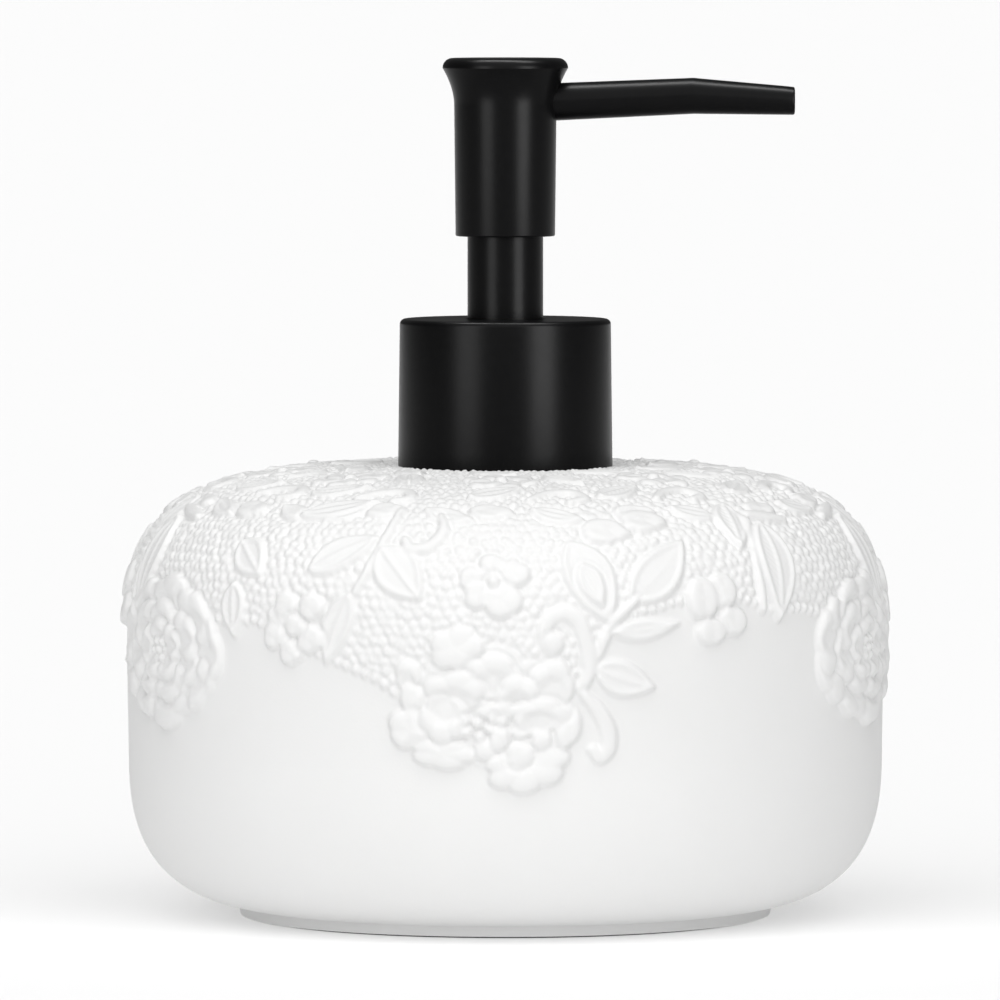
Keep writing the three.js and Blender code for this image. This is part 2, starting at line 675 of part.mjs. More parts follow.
// Trumpet-shaped cover: straight waist, flare, rounded rim and flat top, closed above.
function headShell() {
  const flareBottom = headTop - HEAD_RIM_ROUND - HEAD_FLARE;
  const opening = headRimRadius - headWaistRadius;
  const flare = (steps, inset) =>
    Array.from({ length: steps + 1 }, (_, i) => {
      const share = i / steps;
      const reach = headWaistRadius + opening * share ** FLARE_POWER;
      return [reach - inset, flareBottom + HEAD_FLARE * share];
    });
  const rimCentre = headRimRadius - HEAD_RIM_ROUND;
  const rim = arc(rimCentre, headTop - HEAD_RIM_ROUND, HEAD_RIM_ROUND, 0, Math.PI / 2, 5);
  const shell = turned([
    [SLEEVE_RADIUS + FIT_GAP, headBottom],
    [headBottomRadius - EDGE_BREAK, headBottom],
    [headBottomRadius, headBottom + EDGE_BREAK],
    ...flare(6, 0),
    ...rim.slice(1),
    [0, headTop],
    [0, headTop - HEAD_WALL],
    [rimCentre, headTop - HEAD_WALL],
    ...flare(4, HEAD_WALL).reverse(),
    [headBottomRadius - HEAD_WALL, headBottom + HEAD_WALL],
    [SLEEVE_RADIUS + FIT_GAP, headBottom + HEAD_WALL],
    [SLEEVE_RADIUS + FIT_GAP, headBottom],
  ]);
  return cut(shell, spoutBody(SPOUT_IN_CORE, SLIDE_GAP));
}

// ---- Assembly -----------------------------------------------------------------------------------

const dispenser = new THREE.Group();

function add(name, geometry, material) {
  const mesh = new THREE.Mesh(geometry, material);
  mesh.name = name;
  dispenser.add(mesh);
}

add("bottle", bottle(), whiteCeramic());
add("base_pad", basePad(), darkFoam());
add("mouth_seal", mouthSeal(), softSeal());
add("neck_insert", neckInsert(), whitePlastic());
add("closure", closure(), whitePlastic());
add("collar_shell", collarShell(), blackSatin());
add("gasket", gasket(), softSeal());
add("pump_housing", pumpHousing(), naturalPlastic());
add("pump_retainer", pumpRetainer(), whitePlastic());
add("ball_cage", ballCage(), naturalPlastic());
add("check_ball", checkBall(), ballGlass());
add("dip_tube", dipTube(), naturalPlastic());
add("piston_seal", pistonSeal(), naturalPlastic());
add("piston_stem", pistonStem(), whitePlastic());
add("valve_plug", valvePlug(), whitePlastic());
add("return_spring", returnSpring(), springSteel());
add("neck_sleeve", neckSleeve(), blackSatin());
add("head_core", headCore(), whitePlastic());
add("head_shell", headShell(), blackSatin());
add("spout", spout(), blackSatin());

export default dispenser;
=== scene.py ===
# A soap pump dispenser: a low round ceramic bottle with a cast lace shoulder, and a black lotion pump.
import json
import math

import bpy
import numpy as np
from mathutils import Matrix, Vector


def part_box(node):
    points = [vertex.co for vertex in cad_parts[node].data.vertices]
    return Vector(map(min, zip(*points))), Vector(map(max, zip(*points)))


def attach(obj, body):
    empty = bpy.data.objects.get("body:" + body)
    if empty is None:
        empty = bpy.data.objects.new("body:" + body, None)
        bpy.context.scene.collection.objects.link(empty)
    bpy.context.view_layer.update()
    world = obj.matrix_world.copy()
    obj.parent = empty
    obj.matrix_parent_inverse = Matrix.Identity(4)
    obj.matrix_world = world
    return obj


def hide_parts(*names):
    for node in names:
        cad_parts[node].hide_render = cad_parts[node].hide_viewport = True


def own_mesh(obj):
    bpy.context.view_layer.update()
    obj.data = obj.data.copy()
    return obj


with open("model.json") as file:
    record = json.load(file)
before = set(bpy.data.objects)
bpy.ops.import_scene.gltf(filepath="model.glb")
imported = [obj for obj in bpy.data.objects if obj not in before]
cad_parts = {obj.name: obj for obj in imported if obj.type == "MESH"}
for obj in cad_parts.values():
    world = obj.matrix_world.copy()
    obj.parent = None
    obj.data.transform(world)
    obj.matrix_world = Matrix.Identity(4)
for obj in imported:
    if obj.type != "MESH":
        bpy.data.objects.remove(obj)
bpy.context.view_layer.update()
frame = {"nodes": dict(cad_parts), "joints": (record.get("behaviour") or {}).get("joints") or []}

# ---- Studio ----------------------------------------------------------------------------------------
# A white paper floor under a wide, soft overhead light inside a dim white tent, with a wash of its own.
# Three slim soft boxes are flagged so that they fall only on the black pump and draw its highlights.

LENS = 396.0
SENSOR = 36.0
CLIP = (0.01, 200.0)
CAMERA_DISTANCE = 1.65
CAMERA_HEIGHT = 0.148
AIM = Vector((-0.0008, 0.0, 0.06255))
FLOOR_RADIUS = 60.0
FLOOR_CORNERS = 64
PAPER_GREY = 0.67
TENT_LIGHT = 0.12
OVERHEAD_STRENGTH = 3.1
OVERHEAD_ANGLE = 95.0
OVERHEAD_LEAN = (36.0, -2.0)
FLOOR_WASH = 1.68
WASH_ANGLE = 30.0
BOX_TURN = 41.0
BOX_DISTANCE = 0.5
BOX_HEIGHT = 0.1
BOX_SIZE = (0.22, 0.5)
LEFT_POWER = 2.9
RIGHT_POWER = 4.9
TOP_BOX_PLACE = (0.02, 0.06, 0.6)
TOP_BOX_SIZE = (0.5, 0.12)
TOP_POWER = 5.0
PUMP_MIDDLE = Vector((0.0, 0.0, 0.095))
pump_only = bpy.data.collections.new("pump_only")


def aim_at(obj, target):
    obj.rotation_mode = "QUATERNION"
    obj.rotation_quaternion = (target - obj.location).to_track_quat("-Z", "Y")


def add_camera():
    data = bpy.data.cameras.new("camera")
    data.lens = LENS
    data.sensor_width = SENSOR
    data.clip_start, data.clip_end = CLIP
    camera = bpy.data.objects.new("camera", data)
    bpy.context.scene.collection.objects.link(camera)
    camera.location = (AIM.x, -CAMERA_DISTANCE, CAMERA_HEIGHT)
    aim_at(camera, AIM)
    bpy.context.scene.camera = camera


def add_soft_box(name, place, size, power):
    data = bpy.data.lights.new(name, "AREA")
    data.shape = "RECTANGLE"
    data.size, data.size_y = size
    data.energy = power
    light = bpy.data.objects.new(name, data)
    bpy.context.scene.collection.objects.link(light)
    light.location = place
    aim_at(light, PUMP_MIDDLE)
    light.visible_camera = False
    light.light_linking.receiver_collection = pump_only


def beside(turn):
    side = math.radians(turn)
    return (BOX_DISTANCE * math.sin(side), -BOX_DISTANCE * math.cos(side), BOX_HEIGHT)


def add_distant(name, strength, angle, lean):
    data = bpy.data.lights.new(name, "SUN")
    data.energy = strength
    data.angle = math.radians(angle)
    light = bpy.data.objects.new(name, data)
    bpy.context.scene.collection.objects.link(light)
    light.rotation_euler = [math.radians(turn) for turn in lean] + [0.0]
    return light


def add_tent():
    world = bpy.data.worlds.new("tent")
    bpy.context.scene.world = world
    world.use_nodes = True
    background = world.node_tree.nodes["Background"]
    background.inputs["Color"].default_value = (1.0, 1.0, 1.0, 1.0)
    background.inputs["Strength"].default_value = TENT_LIGHT


def add_floor():
    mesh = bpy.data.meshes.new("paper_floor")
    rim = [2 * math.pi * i / FLOOR_CORNERS for i in range(FLOOR_CORNERS)]
    corners = [(FLOOR_RADIUS * math.cos(a), FLOOR_RADIUS * math.sin(a), 0.0) for a in rim]
    mesh.from_pydata(corners, [], [range(FLOOR_CORNERS)])
    floor = bpy.data.objects.new("paper_floor", mesh)
    bpy.context.scene.collection.objects.link(floor)
    paper = bpy.data.materials.new("white_paper")
    paper.use_nodes = True
    shader = paper.node_tree.nodes["Principled BSDF"]
    shader.inputs["Base Color"].default_value = (PAPER_GREY, PAPER_GREY, PAPER_GREY, 1.0)
    shader.inputs["Roughness"].default_value = 1.0
    shader.inputs["Specular IOR Level"].default_value = 0.0
    mesh.materials.append(paper)
    floor_only = bpy.data.collections.new("floor_only")
    floor_only.objects.link(floor)
    wash = add_distant("floor_wash", FLOOR_WASH, WASH_ANGLE, (0.0, 0.0))
    wash.light_linking.receiver_collection = floor_only
    wash.light_linking.blocker_collection = floor_only


add_camera()
add_soft_box("left_box", beside(-BOX_TURN), BOX_SIZE, LEFT_POWER)
add_soft_box("right_box", beside(BOX_TURN), BOX_SIZE, RIGHT_POWER)
add_soft_box("top_box", TOP_BOX_PLACE, TOP_BOX_SIZE, TOP_POWER)
add_distant("overhead", OVERHEAD_STRENGTH, OVERHEAD_ANGLE, OVERHEAD_LEAN)
add_tent()
add_floor()
bpy.context.scene.view_settings.view_transform = "Standard"

# ---- Bottle ----------------------------------------------------------------------------------------
# Slip-cast ceramic, fired with a matte white glaze. The lace is cast with it, so bottle and relief are
# one piece of material: the upper wall is made here as five tiles that meet on the plain body.

MM = 0.001
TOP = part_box("bottle")[1].z / MM
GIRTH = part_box("bottle")[1].x / MM
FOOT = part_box("bottle")[0].z / MM
SHOULDER = {"flat": 14.0, "high": 29.2, "power": 3.45}
BASE = {"flat": 30.0, "high": 24.66, "power": 2.84, "taper": 0.2, "bottom": 1.34}
CURVE_STEPS = 900
STRAIGHT_STEPS = 60
FOOT_RADIUS = 39.9
FOOT_INSIDE = 38.3
RECESS = 1.1
MOUTH_RADIUS = 13.0
MOUTH_LENGTH = 8.4
WALL = 4.5
HOLLOW_START = 8.0
TILE_DEPTH = 1.0
LACE_TOP = 1.0
LACE_END = 80.0
CELL = 0.27
TILES = 5
RELIEF_DEPTH = 1.35
KNOT_PITCH = 1.4
KNOT_WANDER = 0.3
TILE_BACK_STEPS = 12


class Wall:
    """The bottle's outer line from the mouth out, over the shoulder and down, by its length in mm."""

    def __init__(self):
        flat, high, power = SHOULDER["flat"], SHOULDER["high"], SHOULDER["power"]
        spring = TOP - high
        turn = np.linspace(np.pi / 2, 0, CURVE_STEPS)
        shoulder = np.stack([
            flat + (GIRTH - flat) * np.cos(turn).clip(0) ** (2 / power),
            spring + high * np.sin(turn).clip(0) ** (2 / power),
        ], axis=1)
        base_girth = GIRTH - BASE["taper"]
        base_spring = BASE["bottom"] + BASE["high"]
        drop = np.linspace(0, np.pi / 2, CURVE_STEPS)
        base = np.stack([
            BASE["flat"] + (base_girth - BASE["flat"]) * np.cos(drop).clip(0) ** (2 / BASE["power"]),
            base_spring - BASE["high"] * np.sin(drop).clip(0) ** (2 / BASE["power"]),
        ], axis=1)
        between = np.linspace(0, 1, STRAIGHT_STEPS)[1:-1, None]
        straight = shoulder[-1] + (base[0] - shoulder[-1]) * between
        self.line = np.concatenate([[[MOUTH_RADIUS, TOP]], shoulder, straight, base])
        step = np.hypot(*np.diff(self.line, axis=0).T)
        self.line = self.line[np.concatenate([[True], step > 1e-6])]
        step = np.hypot(*np.diff(self.line, axis=0).T)
        self.length = np.concatenate([[0.0], np.cumsum(step)])

    def at(self, length):
        return tuple(np.interp(length, self.length, values) for values in self.line.T)

    def facing(self, length, reach=0.2):
        """Outward direction (radial, up) at a length along the line."""
        ahead, behind = self.at(length + reach), self.at(length - reach)
        along = np.stack([ahead[0] - behind[0], ahead[1] - behind[1]])
        along /= np.hypot(*along)
        return -along[1], along[0]


wall = Wall()


class Relief:
    """Height of the lace over the plain wall, in mm, on a grid of angle (columns) and length (rows)."""

    def __init__(self):
        self.rows = int(round((LACE_END - LACE_TOP) / CELL)) + 1
        self.columns = int(round(2 * math.pi * GIRTH / CELL / TILES)) * TILES
        self.down = np.linspace(LACE_TOP, LACE_END, self.rows)
        self.turn = np.arange(self.columns) * 360.0 / self.columns
        self.radius = wall.at(self.down)[0]
        self.height = np.zeros((self.rows, self.columns))

    def window(self, turn, down, reach):
        """Rows, columns and local millimetres (right, down) within reach of a place on the wall."""
        rows = np.nonzero(np.abs(self.down - down) <= reach)[0]
        radius = max(wall.at(down)[0], 8.0)
        span = min(math.degrees(reach / max(radius - 0.35 * reach, 6.0)), 180.0)
        first = int(math.floor((turn - span) / 360.0 * self.columns))
        count = min(int(math.ceil(2 * span / 360.0 * self.columns)), self.columns)
        columns = np.arange(first, first + count)
        offset = np.radians(columns * 360.0 / self.columns - turn)
        across = offset[None, :] * self.radius[rows][:, None]
        downward = np.broadcast_to((self.down[rows] - down)[:, None], across.shape)
        return np.ix_(rows, columns % self.columns), across, downward

    def lay(self, place, inside, height, soft=0.28, groove=0.2):
        """Lays a shape over what is there. inside is the distance in from its edge, in mm."""
        there = self.height[place]
        mask = np.clip(inside / soft + 0.5, 0, 1)
        mask = mask * mask * (3 - 2 * mask)
        trench = groove * np.exp(-((inside + soft) / 0.32) ** 2) * (inside < 0)
        there = np.maximum(there - trench, 0.0)
        self.height[place] = there * (1 - mask) + height * mask


relief = Relief()


def smooth(value):
    value = np.clip(value, 0, 1)
    return value * value * (3 - 2 * value)


def petal(turn, down, wide, high, lean=0.0, lobes=3, level=0.45, puff=0.3, cup=0.12, tilt=0.0, sink=0.0):
    """A puffed petal with a scalloped edge, in mm half-sizes, and lean in degrees.

    tilt lifts its lower side, cup is the depth of its hollow, and sink moves the hollow down in it.
    """
    reach = 1.35 * max(wide, high) + 1.0
    place, x, y = relief.window(turn, down, reach)
    c, s = math.cos(math.radians(lean)), math.sin(math.radians(lean))
    u, v = (x * c + y * s) / wide, (-x * s + y * c) / high
    angle = np.arctan2(v, u)
    scallop = 0.88 + 0.2 * np.abs(np.cos(lobes * angle / 2.0)) ** 0.7
    distance = (scallop - np.hypot(u, v)) * min(wide, high)
    girth = min(1.6, 0.8 * min(wide, high))
    round_edge = np.sqrt(1 - (1 - np.clip(distance / girth, 0, 1)) ** 2)
    furrows = 0.07 * np.abs(np.cos(lobes * angle / 2.0)) * smooth(distance / 1.2)
    hollow = smooth((0.8 - np.hypot(x / wide, y / high - sink)) / 0.45)
    rise = level + puff * round_edge - cup * hollow + furrows
    relief.lay(place, distance, rise + tilt * y / max(wide, high))


def berry(turn, down, radius, level=0.3, puff=0.42):
    place, x, y = relief.window(turn, down, radius + 1.0)
    away = np.hypot(x, y)
    dome = np.sqrt(np.clip(1 - (away / radius) ** 2, 0, 1))
    relief.lay(place, radius - away, level + puff * dome)


def leaf(root, tip, wide, hatch=0.0, level=0.3, bend=0.0, rim=0.3, vein=0.22):
    """A pointed leaf with a raised border and a middle vein; hatch is the depth of its cross ribs."""
    middle = ((root[0] + tip[0]) / 2, (root[1] + tip[1]) / 2)
    radius = wall.at(middle[1])[0]
    run = math.radians(tip[0] - root[0]) * radius
    fall = tip[1] - root[1]
    size = math.hypot(run, fall)
    place, x, y = relief.window(*middle, size / 2 + wide + 1.2)
    ex, ey = run / size, fall / size
    t = (x * ex + y * ey) / size + 0.5
    q = -x * ey + y * ex
    q = q - bend * np.sin(np.pi * np.clip(t, 0, 1))
    body = np.clip(t, 0, 1)
    half = wide * (np.sin(np.pi * body ** 0.8) ** 0.85)
    ends = np.minimum(t, 1 - t) * size
    distance = np.where(ends > 0, (half - np.abs(q)) * 0.85, ends - np.abs(q))
    border = rim * smooth(distance / 0.45) * (1 - 0.62 * smooth((distance - 0.65) / 0.5))
    rise = level + border + vein * np.exp(-((q / 0.28) ** 2)) * smooth(distance / 0.8)
    if hatch:
        slope = t * size + np.abs(q) * 0.9
        rise = rise + hatch * np.cos(2 * np.pi * slope / 0.95) * smooth((distance - 0.7) / 0.3)
    relief.lay(place, distance, rise)


def cord(points, widths, level=0.28, puff=0.4):
    """A round raised cord through places (turn, down), with a half-width in mm at each."""
    turns, downs = np.array(points, float).T
    knots = np.arange(len(points), dtype=float)
    fine = np.linspace(0, len(points) - 1, 12 * (len(points) - 1) + 1)

    def through(values):
        """A smooth line through the values, by a Catmull-Rom rule."""
        padded = np.concatenate([[2 * values[0] - values[1]], values, [2 * values[-1] - values[-2]]])
        i = np.minimum(fine.astype(int), len(values) - 2)
        f = fine - i
        a, b, c, d = (padded[i + k] for k in range(4))
        square, cube = 2 * a - 5 * b + 4 * c - d, 3 * b - a - 3 * c + d
        return 0.5 * (2 * b + (c - a) * f + square * f**2 + cube * f**3)

    turns, downs = through(turns), through(downs)
    half = np.interp(fine, knots, np.array(widths, float))
    centre = (float(turns.mean()), float(downs.mean()))
    radius = wall.at(centre[1])[0]
    px = np.radians(turns - centre[0]) * radius
    py = downs - centre[1]
    reach = float(np.max(np.hypot(px, py)) + max(widths) + 1.0)
    place, x, y = relief.window(*centre, reach)
    distance = np.full(x.shape, -9.0)
    share = np.zeros(x.shape)
    for k in range(len(fine) - 1):
        ax, ay, bx, by = px[k], py[k], px[k + 1], py[k + 1]
        along2 = max((bx - ax) ** 2 + (by - ay) ** 2, 1e-9)
        t = np.clip(((x - ax) * (bx - ax) + (y - ay) * (by - ay)) / along2, 0, 1)
        away = np.hypot(x - ax - t * (bx - ax), y - ay - t * (by - ay))
        width = half[k] + t * (half[k + 1] - half[k])
        better = width - away > distance
        distance = np.where(better, width - away, distance)
        share = np.where(better, np.clip(1 - (away / width) ** 2, 0, 1), share)
    relief.lay(place, distance, level + puff * np.sqrt(share))


# The net's lower edge, as angle from a spray's or a bloom's middle and length down the wall.
SPRAY_EDGE = [
    (-43, 54.8), (-37, 54.0), (-32, 57.0), (-26, 58.5), (-20, 60.7), (-16, 62.2), (-12, 65.0), (-5, 66.0),
    (8, 66.0), (13, 62.0), (16, 56.0), (21, 53.0), (29, 51.0), (40, 50.5), (47, 53.0), (53, 52.6),
]
ROSE_EDGE = [(-13, 54.0), (-8, 60.0), (0, 62.0), (8, 60.0), (13, 54.0)]
ROSE_TURNS = (69.5, 182.0, 297.0)
# Middle angle of each spray, and -1 where it is laid the other way round.
SPRAYS = ((-3.0, 1), (125.0, -1), (239.0, 1))
# Each band of the net: its knots around, and where it starts and ends down the wall.
NET_BANDS = ((96, 0.0, 19.0), (168, 19.0, 35.0), (230, 35.0, LACE_END))
ROSE_SEED = 21
CROWN_SEED = 11


def net_edge():
    places = {}
    for centre, hand in SPRAYS:
        for x, down in SPRAY_EDGE:
            places[(centre + hand * x) % 360.0] = down
    for centre in ROSE_TURNS:
        for x, down in ROSE_EDGE:
            places[(centre + x) % 360.0] = down
    turns = np.array(sorted(places))
    downs = np.array([places[t] for t in turns])
    return np.interp(relief.turn, turns, downs, period=360.0)


def wander(seed, size):
    """Slow unevenness over the whole wall, -1 to 1, in patches of about the given size in mm."""
    draw = np.random.default_rng(seed)
    y = (relief.down - LACE_TOP) / size
    columns = int(2 * math.pi * GIRTH / size)
    x = relief.turn / 360.0 * columns
    patches = draw.uniform(-1, 1, (int(y[-1]) + 2, columns))
    i, j = y.astype(int), x.astype(int)
    fy, fx = smooth(y - i)[:, None], smooth(x - j)[None, :]
    rows = patches[i] * (1 - fy) + patches[i + 1] * fy
    return rows[:, j] * (1 - fx) + rows[:, (j + 1) % columns] * fx


def knots(around):
    """Distances in mm from every place on the wall to the nearest and the next knot of a loose net."""
    draw = np.random.default_rng(around)
    y = relief.down[:, None] / KNOT_PITCH
    x = relief.turn[None, :] / 360.0 * around + np.zeros_like(y)
    i, j = y.astype(int), x.astype(int)
    shift = draw.uniform(-KNOT_WANDER, KNOT_WANDER, (2, int(y[-1, 0]) + 3, around))
    width = 2 * math.pi * relief.radius[:, None] / around
    nearest, following = np.full(x.shape, 9.0), np.full(x.shape, 9.0)
    for row in (i - 1, i, i + 1):
        row = np.maximum(row, 0)
        for column in (j - 1, j, j + 1):
            moved = shift[:, row, column % around]
            across = (x - column - 0.5 * (row % 2) - 0.25 - moved[0]) * width
            away = np.hypot(across, (y - row - 0.5 - moved[1]) * KNOT_PITCH)
            following = np.minimum(following, np.maximum(nearest, away))
            nearest = np.minimum(nearest, away)
    return nearest, following


def net():
    """Knotted net above its lower edge: lumpy knots drawn together, with a pit wherever three meet."""
    inside = net_edge()[None, :] - relief.down[:, None]
    lump, pit = wander(seed=6, size=1.5), wander(seed=7, size=2.2)
    for around, first, last in NET_BANDS:
        rows = ((relief.down >= first) & (relief.down < last))[:, None]
        nearest, following = knots(around)
        swell = smooth((following - nearest) / 0.9)
        thread = 0.28 + 0.17 * swell + 0.09 * lump * swell
        thread = thread - 0.2 * smooth((nearest - 0.5) / 0.4) * (0.75 + 0.6 * pit)
        mask = smooth(inside / 0.4 + 0.5) * rows
        relief.height[:] = relief.height * (1 - mask) + thread * mask


def peony(turn, hand):
    """The large bloom at a spray's foot: back and outer petals, then the cups, the lip and the stamens."""

    def at(x, down, *sizes, lean=0.0, **more):
        petal(turn + hand * x, down, *sizes, lean=hand * lean, **more)

    at(0.0, 66.0, 12.0, 8.6, lobes=9, level=0.3, puff=0.1, cup=0.0)
    at(-4.2, 57.4, 3.8, 3.1, lean=-6, lobes=5, level=0.44, puff=0.34, cup=0.12, tilt=0.1, sink=-0.5)
    at(-11.4, 61.3, 1.9, 2.4, lean=-8, lobes=3, level=0.4, puff=0.3, cup=0.3, sink=0.4)
    at(-10.6, 65.2, 1.9, 2.6, lean=-14, lobes=3, level=0.46, puff=0.32, cup=0.1, tilt=0.08)
    at(-11.2, 69.2, 3.2, 2.8, lean=38, lobes=4, level=0.46, puff=0.44, cup=0.08, tilt=0.1)
    at(-6.2, 72.7, 4.5, 2.2, lean=4, lobes=5, level=0.46, puff=0.44, cup=0.05, tilt=0.08)
    at(6.2, 74.2, 5.9, 3.9, lean=-12, lobes=7, level=0.46, puff=0.46, cup=0.2, tilt=0.12, sink=-0.4)
    at(0.0, 71.9, 1.6, 1.6, lobes=3, level=0.56, puff=0.32, cup=0.0)
    at(12.0, 68.4, 2.0, 3.4, lean=4, lobes=3, level=0.52, puff=0.36, cup=0.08, tilt=0.1)
    at(5.0, 72.9, 1.9, 1.9, lobes=3, level=0.66, puff=0.34, cup=0.0)
    at(2.1, 70.1, 1.5, 2.1, lobes=3, level=0.66, puff=0.3, cup=0.04)
    at(8.2, 70.3, 1.5, 1.7, lobes=3, level=0.64, puff=0.32, cup=0.0)
    at(5.3, 69.3, 1.5, 1.1, lobes=3, level=0.5, puff=0.22, cup=0.1)
    at(1.2, 61.4, 3.8, 3.1, lean=14, lobes=4, level=0.5, puff=0.32, cup=0.36, tilt=-0.05, sink=0.35)
    at(-4.6, 63.8, 4.3, 3.0, lean=-8, lobes=5, level=0.5, puff=0.36, cup=0.46, tilt=-0.05, sink=0.4)
    at(9.8, 62.6, 3.2, 3.5, lean=20, lobes=4, level=0.52, puff=0.36, cup=0.4, tilt=-0.05, sink=0.3)
    at(4.7, 64.2, 2.9, 2.9, lean=-20, lobes=4, level=0.58, puff=0.32, cup=0.55, sink=0.4)
    at(-6.0, 67.6, 3.5, 3.3, lean=32, lobes=5, level=0.6, puff=0.4, cup=0.5, tilt=0.1, sink=-0.35)
    at(2.2, 66.5, 3.0, 1.3, lean=-6, lobes=4, level=0.6, puff=0.26, cup=0.0)
    at(8.0, 66.9, 3.9, 2.3, lean=-2, lobes=5, level=0.6, puff=0.3, cup=0.5, sink=0.45)
    stamens = ((-2.6, 69.5), (-1.0, 68.3), (0.6, 69.0), (-2.8, 67.8), (1.2, 67.6), (-0.8, 70.2), (2.6, 67.9))
    for x, down in stamens:
        berry(turn + hand * x, down, 0.75, level=0.6, puff=0.28)


def spray(turn, hand):
    """One hanging spray: bloom, scroll, leaves, berries and a small blossom; hand -1 mirrors it."""

    def place(x, down):
        return (turn + hand * x, down)

    def add_leaf(x0, down0, x1, down1, wide, **more):
        more["bend"] = hand * more.get("bend", 0.0)
        leaf(place(x0, down0), place(x1, down1), wide, **more)

    def add_cord(points, widths, **more):
        cord([place(*p) for p in points], widths, **more)

    add_leaf(-40.5, 34.8, -33, 37.2, 1.7)
    add_leaf(-22, 33.8, -30, 38.0, 1.7)
    add_leaf(-28.5, 46.7, -17, 40.6, 2.7, bend=-0.4)
    add_leaf(-35, 36.9, -20, 32.2, 2.2, level=0.34)
    add_cord([(-16, 35), (-16.4, 40), (-18, 45.5), (-20.4, 50), (-24, 52.2)], [0.6, 0.75, 0.75, 0.65, 0.4])
    add_leaf(-20.6, 49.6, -24.4, 60.4, 2.5, bend=0.3)
    add_leaf(-16.8, 42.6, -9.4, 50.6, 3.6, level=0.36)
    add_cord([(-13.2, 41.2), (-12, 42.6), (-9, 42.2), (-7.2, 39.4), (-8.2, 36.2)], [0.7, 0.9, 1.0, 0.9, 0.5])
    add_leaf(-42.2, 48.6, -41.2, 56.8, 2.5, hatch=0.06)
    add_leaf(-43.5, 42.2, -36.8, 47.6, 2.9, hatch=0.07)
    puffs = (
        (-32.6, 53.6, 2.1), (-31.4, 51.6, 2.0), (-27.0, 51.8, 2.1), (-33.2, 56.2, 2.0),
        (-30.2, 58.4, 2.0), (-27.0, 56.4, 2.2), (-29.6, 54.6, 1.6),
    )
    for x, down, radius in puffs:
        petal(*place(x, down), radius, radius * 0.94, lobes=3, level=0.44, puff=0.34, cup=0.05, tilt=0.06)
    puffs = ((1.0, 45.3, 2.0), (4.2, 46.5, 2.3), (-2.0, 47.2, 1.9), (-0.9, 49.6, 2.2), (2.6, 50.4, 2.7))
    for x, down, radius in puffs:
        petal(*place(x, down), radius, radius * 0.92, lobes=3, level=0.44, puff=0.32, cup=0.05, tilt=0.08)
    berry(*place(1.2, 47.6), 1.0, level=0.5)
    petal(*place(19.6, 39.4), 3.6, 2.3, lobes=3, level=0.42, puff=0.3, cup=0.16)
    petal(*place(26.6, 37.6), 3.4, 2.2, lobes=3, level=0.46, puff=0.3, cup=0.16)
    add_leaf(13, 41.4, 18.8, 54.2, 3.7, bend=-0.3, level=0.34, vein=0.1)
    add_leaf(14.4, 45.0, 17.6, 51.6, 2.0, level=0.5, vein=0.1)
    add_leaf(21.6, 50.6, 32.2, 41.4, 3.4, bend=0.5, level=0.36, vein=0.05)
    add_cord([(15.4, 61.0), (17.2, 56.8), (19.6, 53.2), (22.6, 50.6)], [0.8, 0.85, 0.8, 0.6])
    add_leaf(18.6, 55.2, 29.8, 54.0, 1.7, bend=0.2)
    add_leaf(16.0, 60.2, 25.6, 63.4, 2.7, bend=0.3)
    puffs = ((37.2, 49.6, 2.3, 2.7), (33.6, 50.6, 2.4, 3.2), (38.6, 54.0, 2.4, 2.2), (34.8, 55.4, 2.3, 2.0))
    for x, down, wide, high in puffs:
        petal(*place(x, down), wide, high, lobes=2, level=0.48, puff=0.36, cup=0.08, tilt=0.1)
    add_leaf(45.4, 34.0, 42.6, 43.6, 2.9, hatch=0.07, level=0.36)
    band = [(48.4, 35.6), (46.6, 41.0), (45.2, 46.4), (44.6, 52.4)]
    add_cord(band, [0.9, 0.9, 0.85, 0.7], level=0.34, puff=0.32)
    add_leaf(49.6, 38.6, 47.6, 54.6, 3.6, hatch=0.05, bend=-0.7, level=0.36, rim=0.36)
    add_cord([(49, 37.0), (53, 37.8), (57, 38.6)], [0.9, 1.1, 0.7], level=0.34)
    peony(turn, hand)
    curl = [(9.8, 57.0), (8.9, 55.3), (9.2, 53.5), (11.2, 52.3), (13.6, 53.2), (14.9, 56.4)]
    add_cord(curl + [(15.3, 60.4), (14.2, 63.4)], [1.5, 1.2, 1.1, 1.1, 1.15, 1.2, 1.1, 0.8])
    berry(*place(10.1, 56.5), 1.5, level=0.34, puff=0.4)
    add_cord(
        [(14.6, 64.2), (16.6, 66.4), (18.1, 69.2), (18.2, 71.8), (17.0, 73.2), (15.9, 72.3)],
        [0.8, 1.15, 1.3, 1.25, 1.1, 0.9],
    )


def blossom(turn, down, size):
    """A small loose blossom with six petals and a seeded heart."""
    for k in range(6):
        angle = math.radians(60 * k + 15)
        x, y = 0.62 * size * math.cos(angle), 0.62 * size * math.sin(angle)
        radius = wall.at(down + y)[0]
        petal(
            turn + math.degrees(x / radius), down + y, 0.5 * size, 0.4 * size,
            lean=math.degrees(angle), lobes=3, level=0.36, puff=0.26,
        )
    berry(turn, down, 0.2 * size, level=0.45)


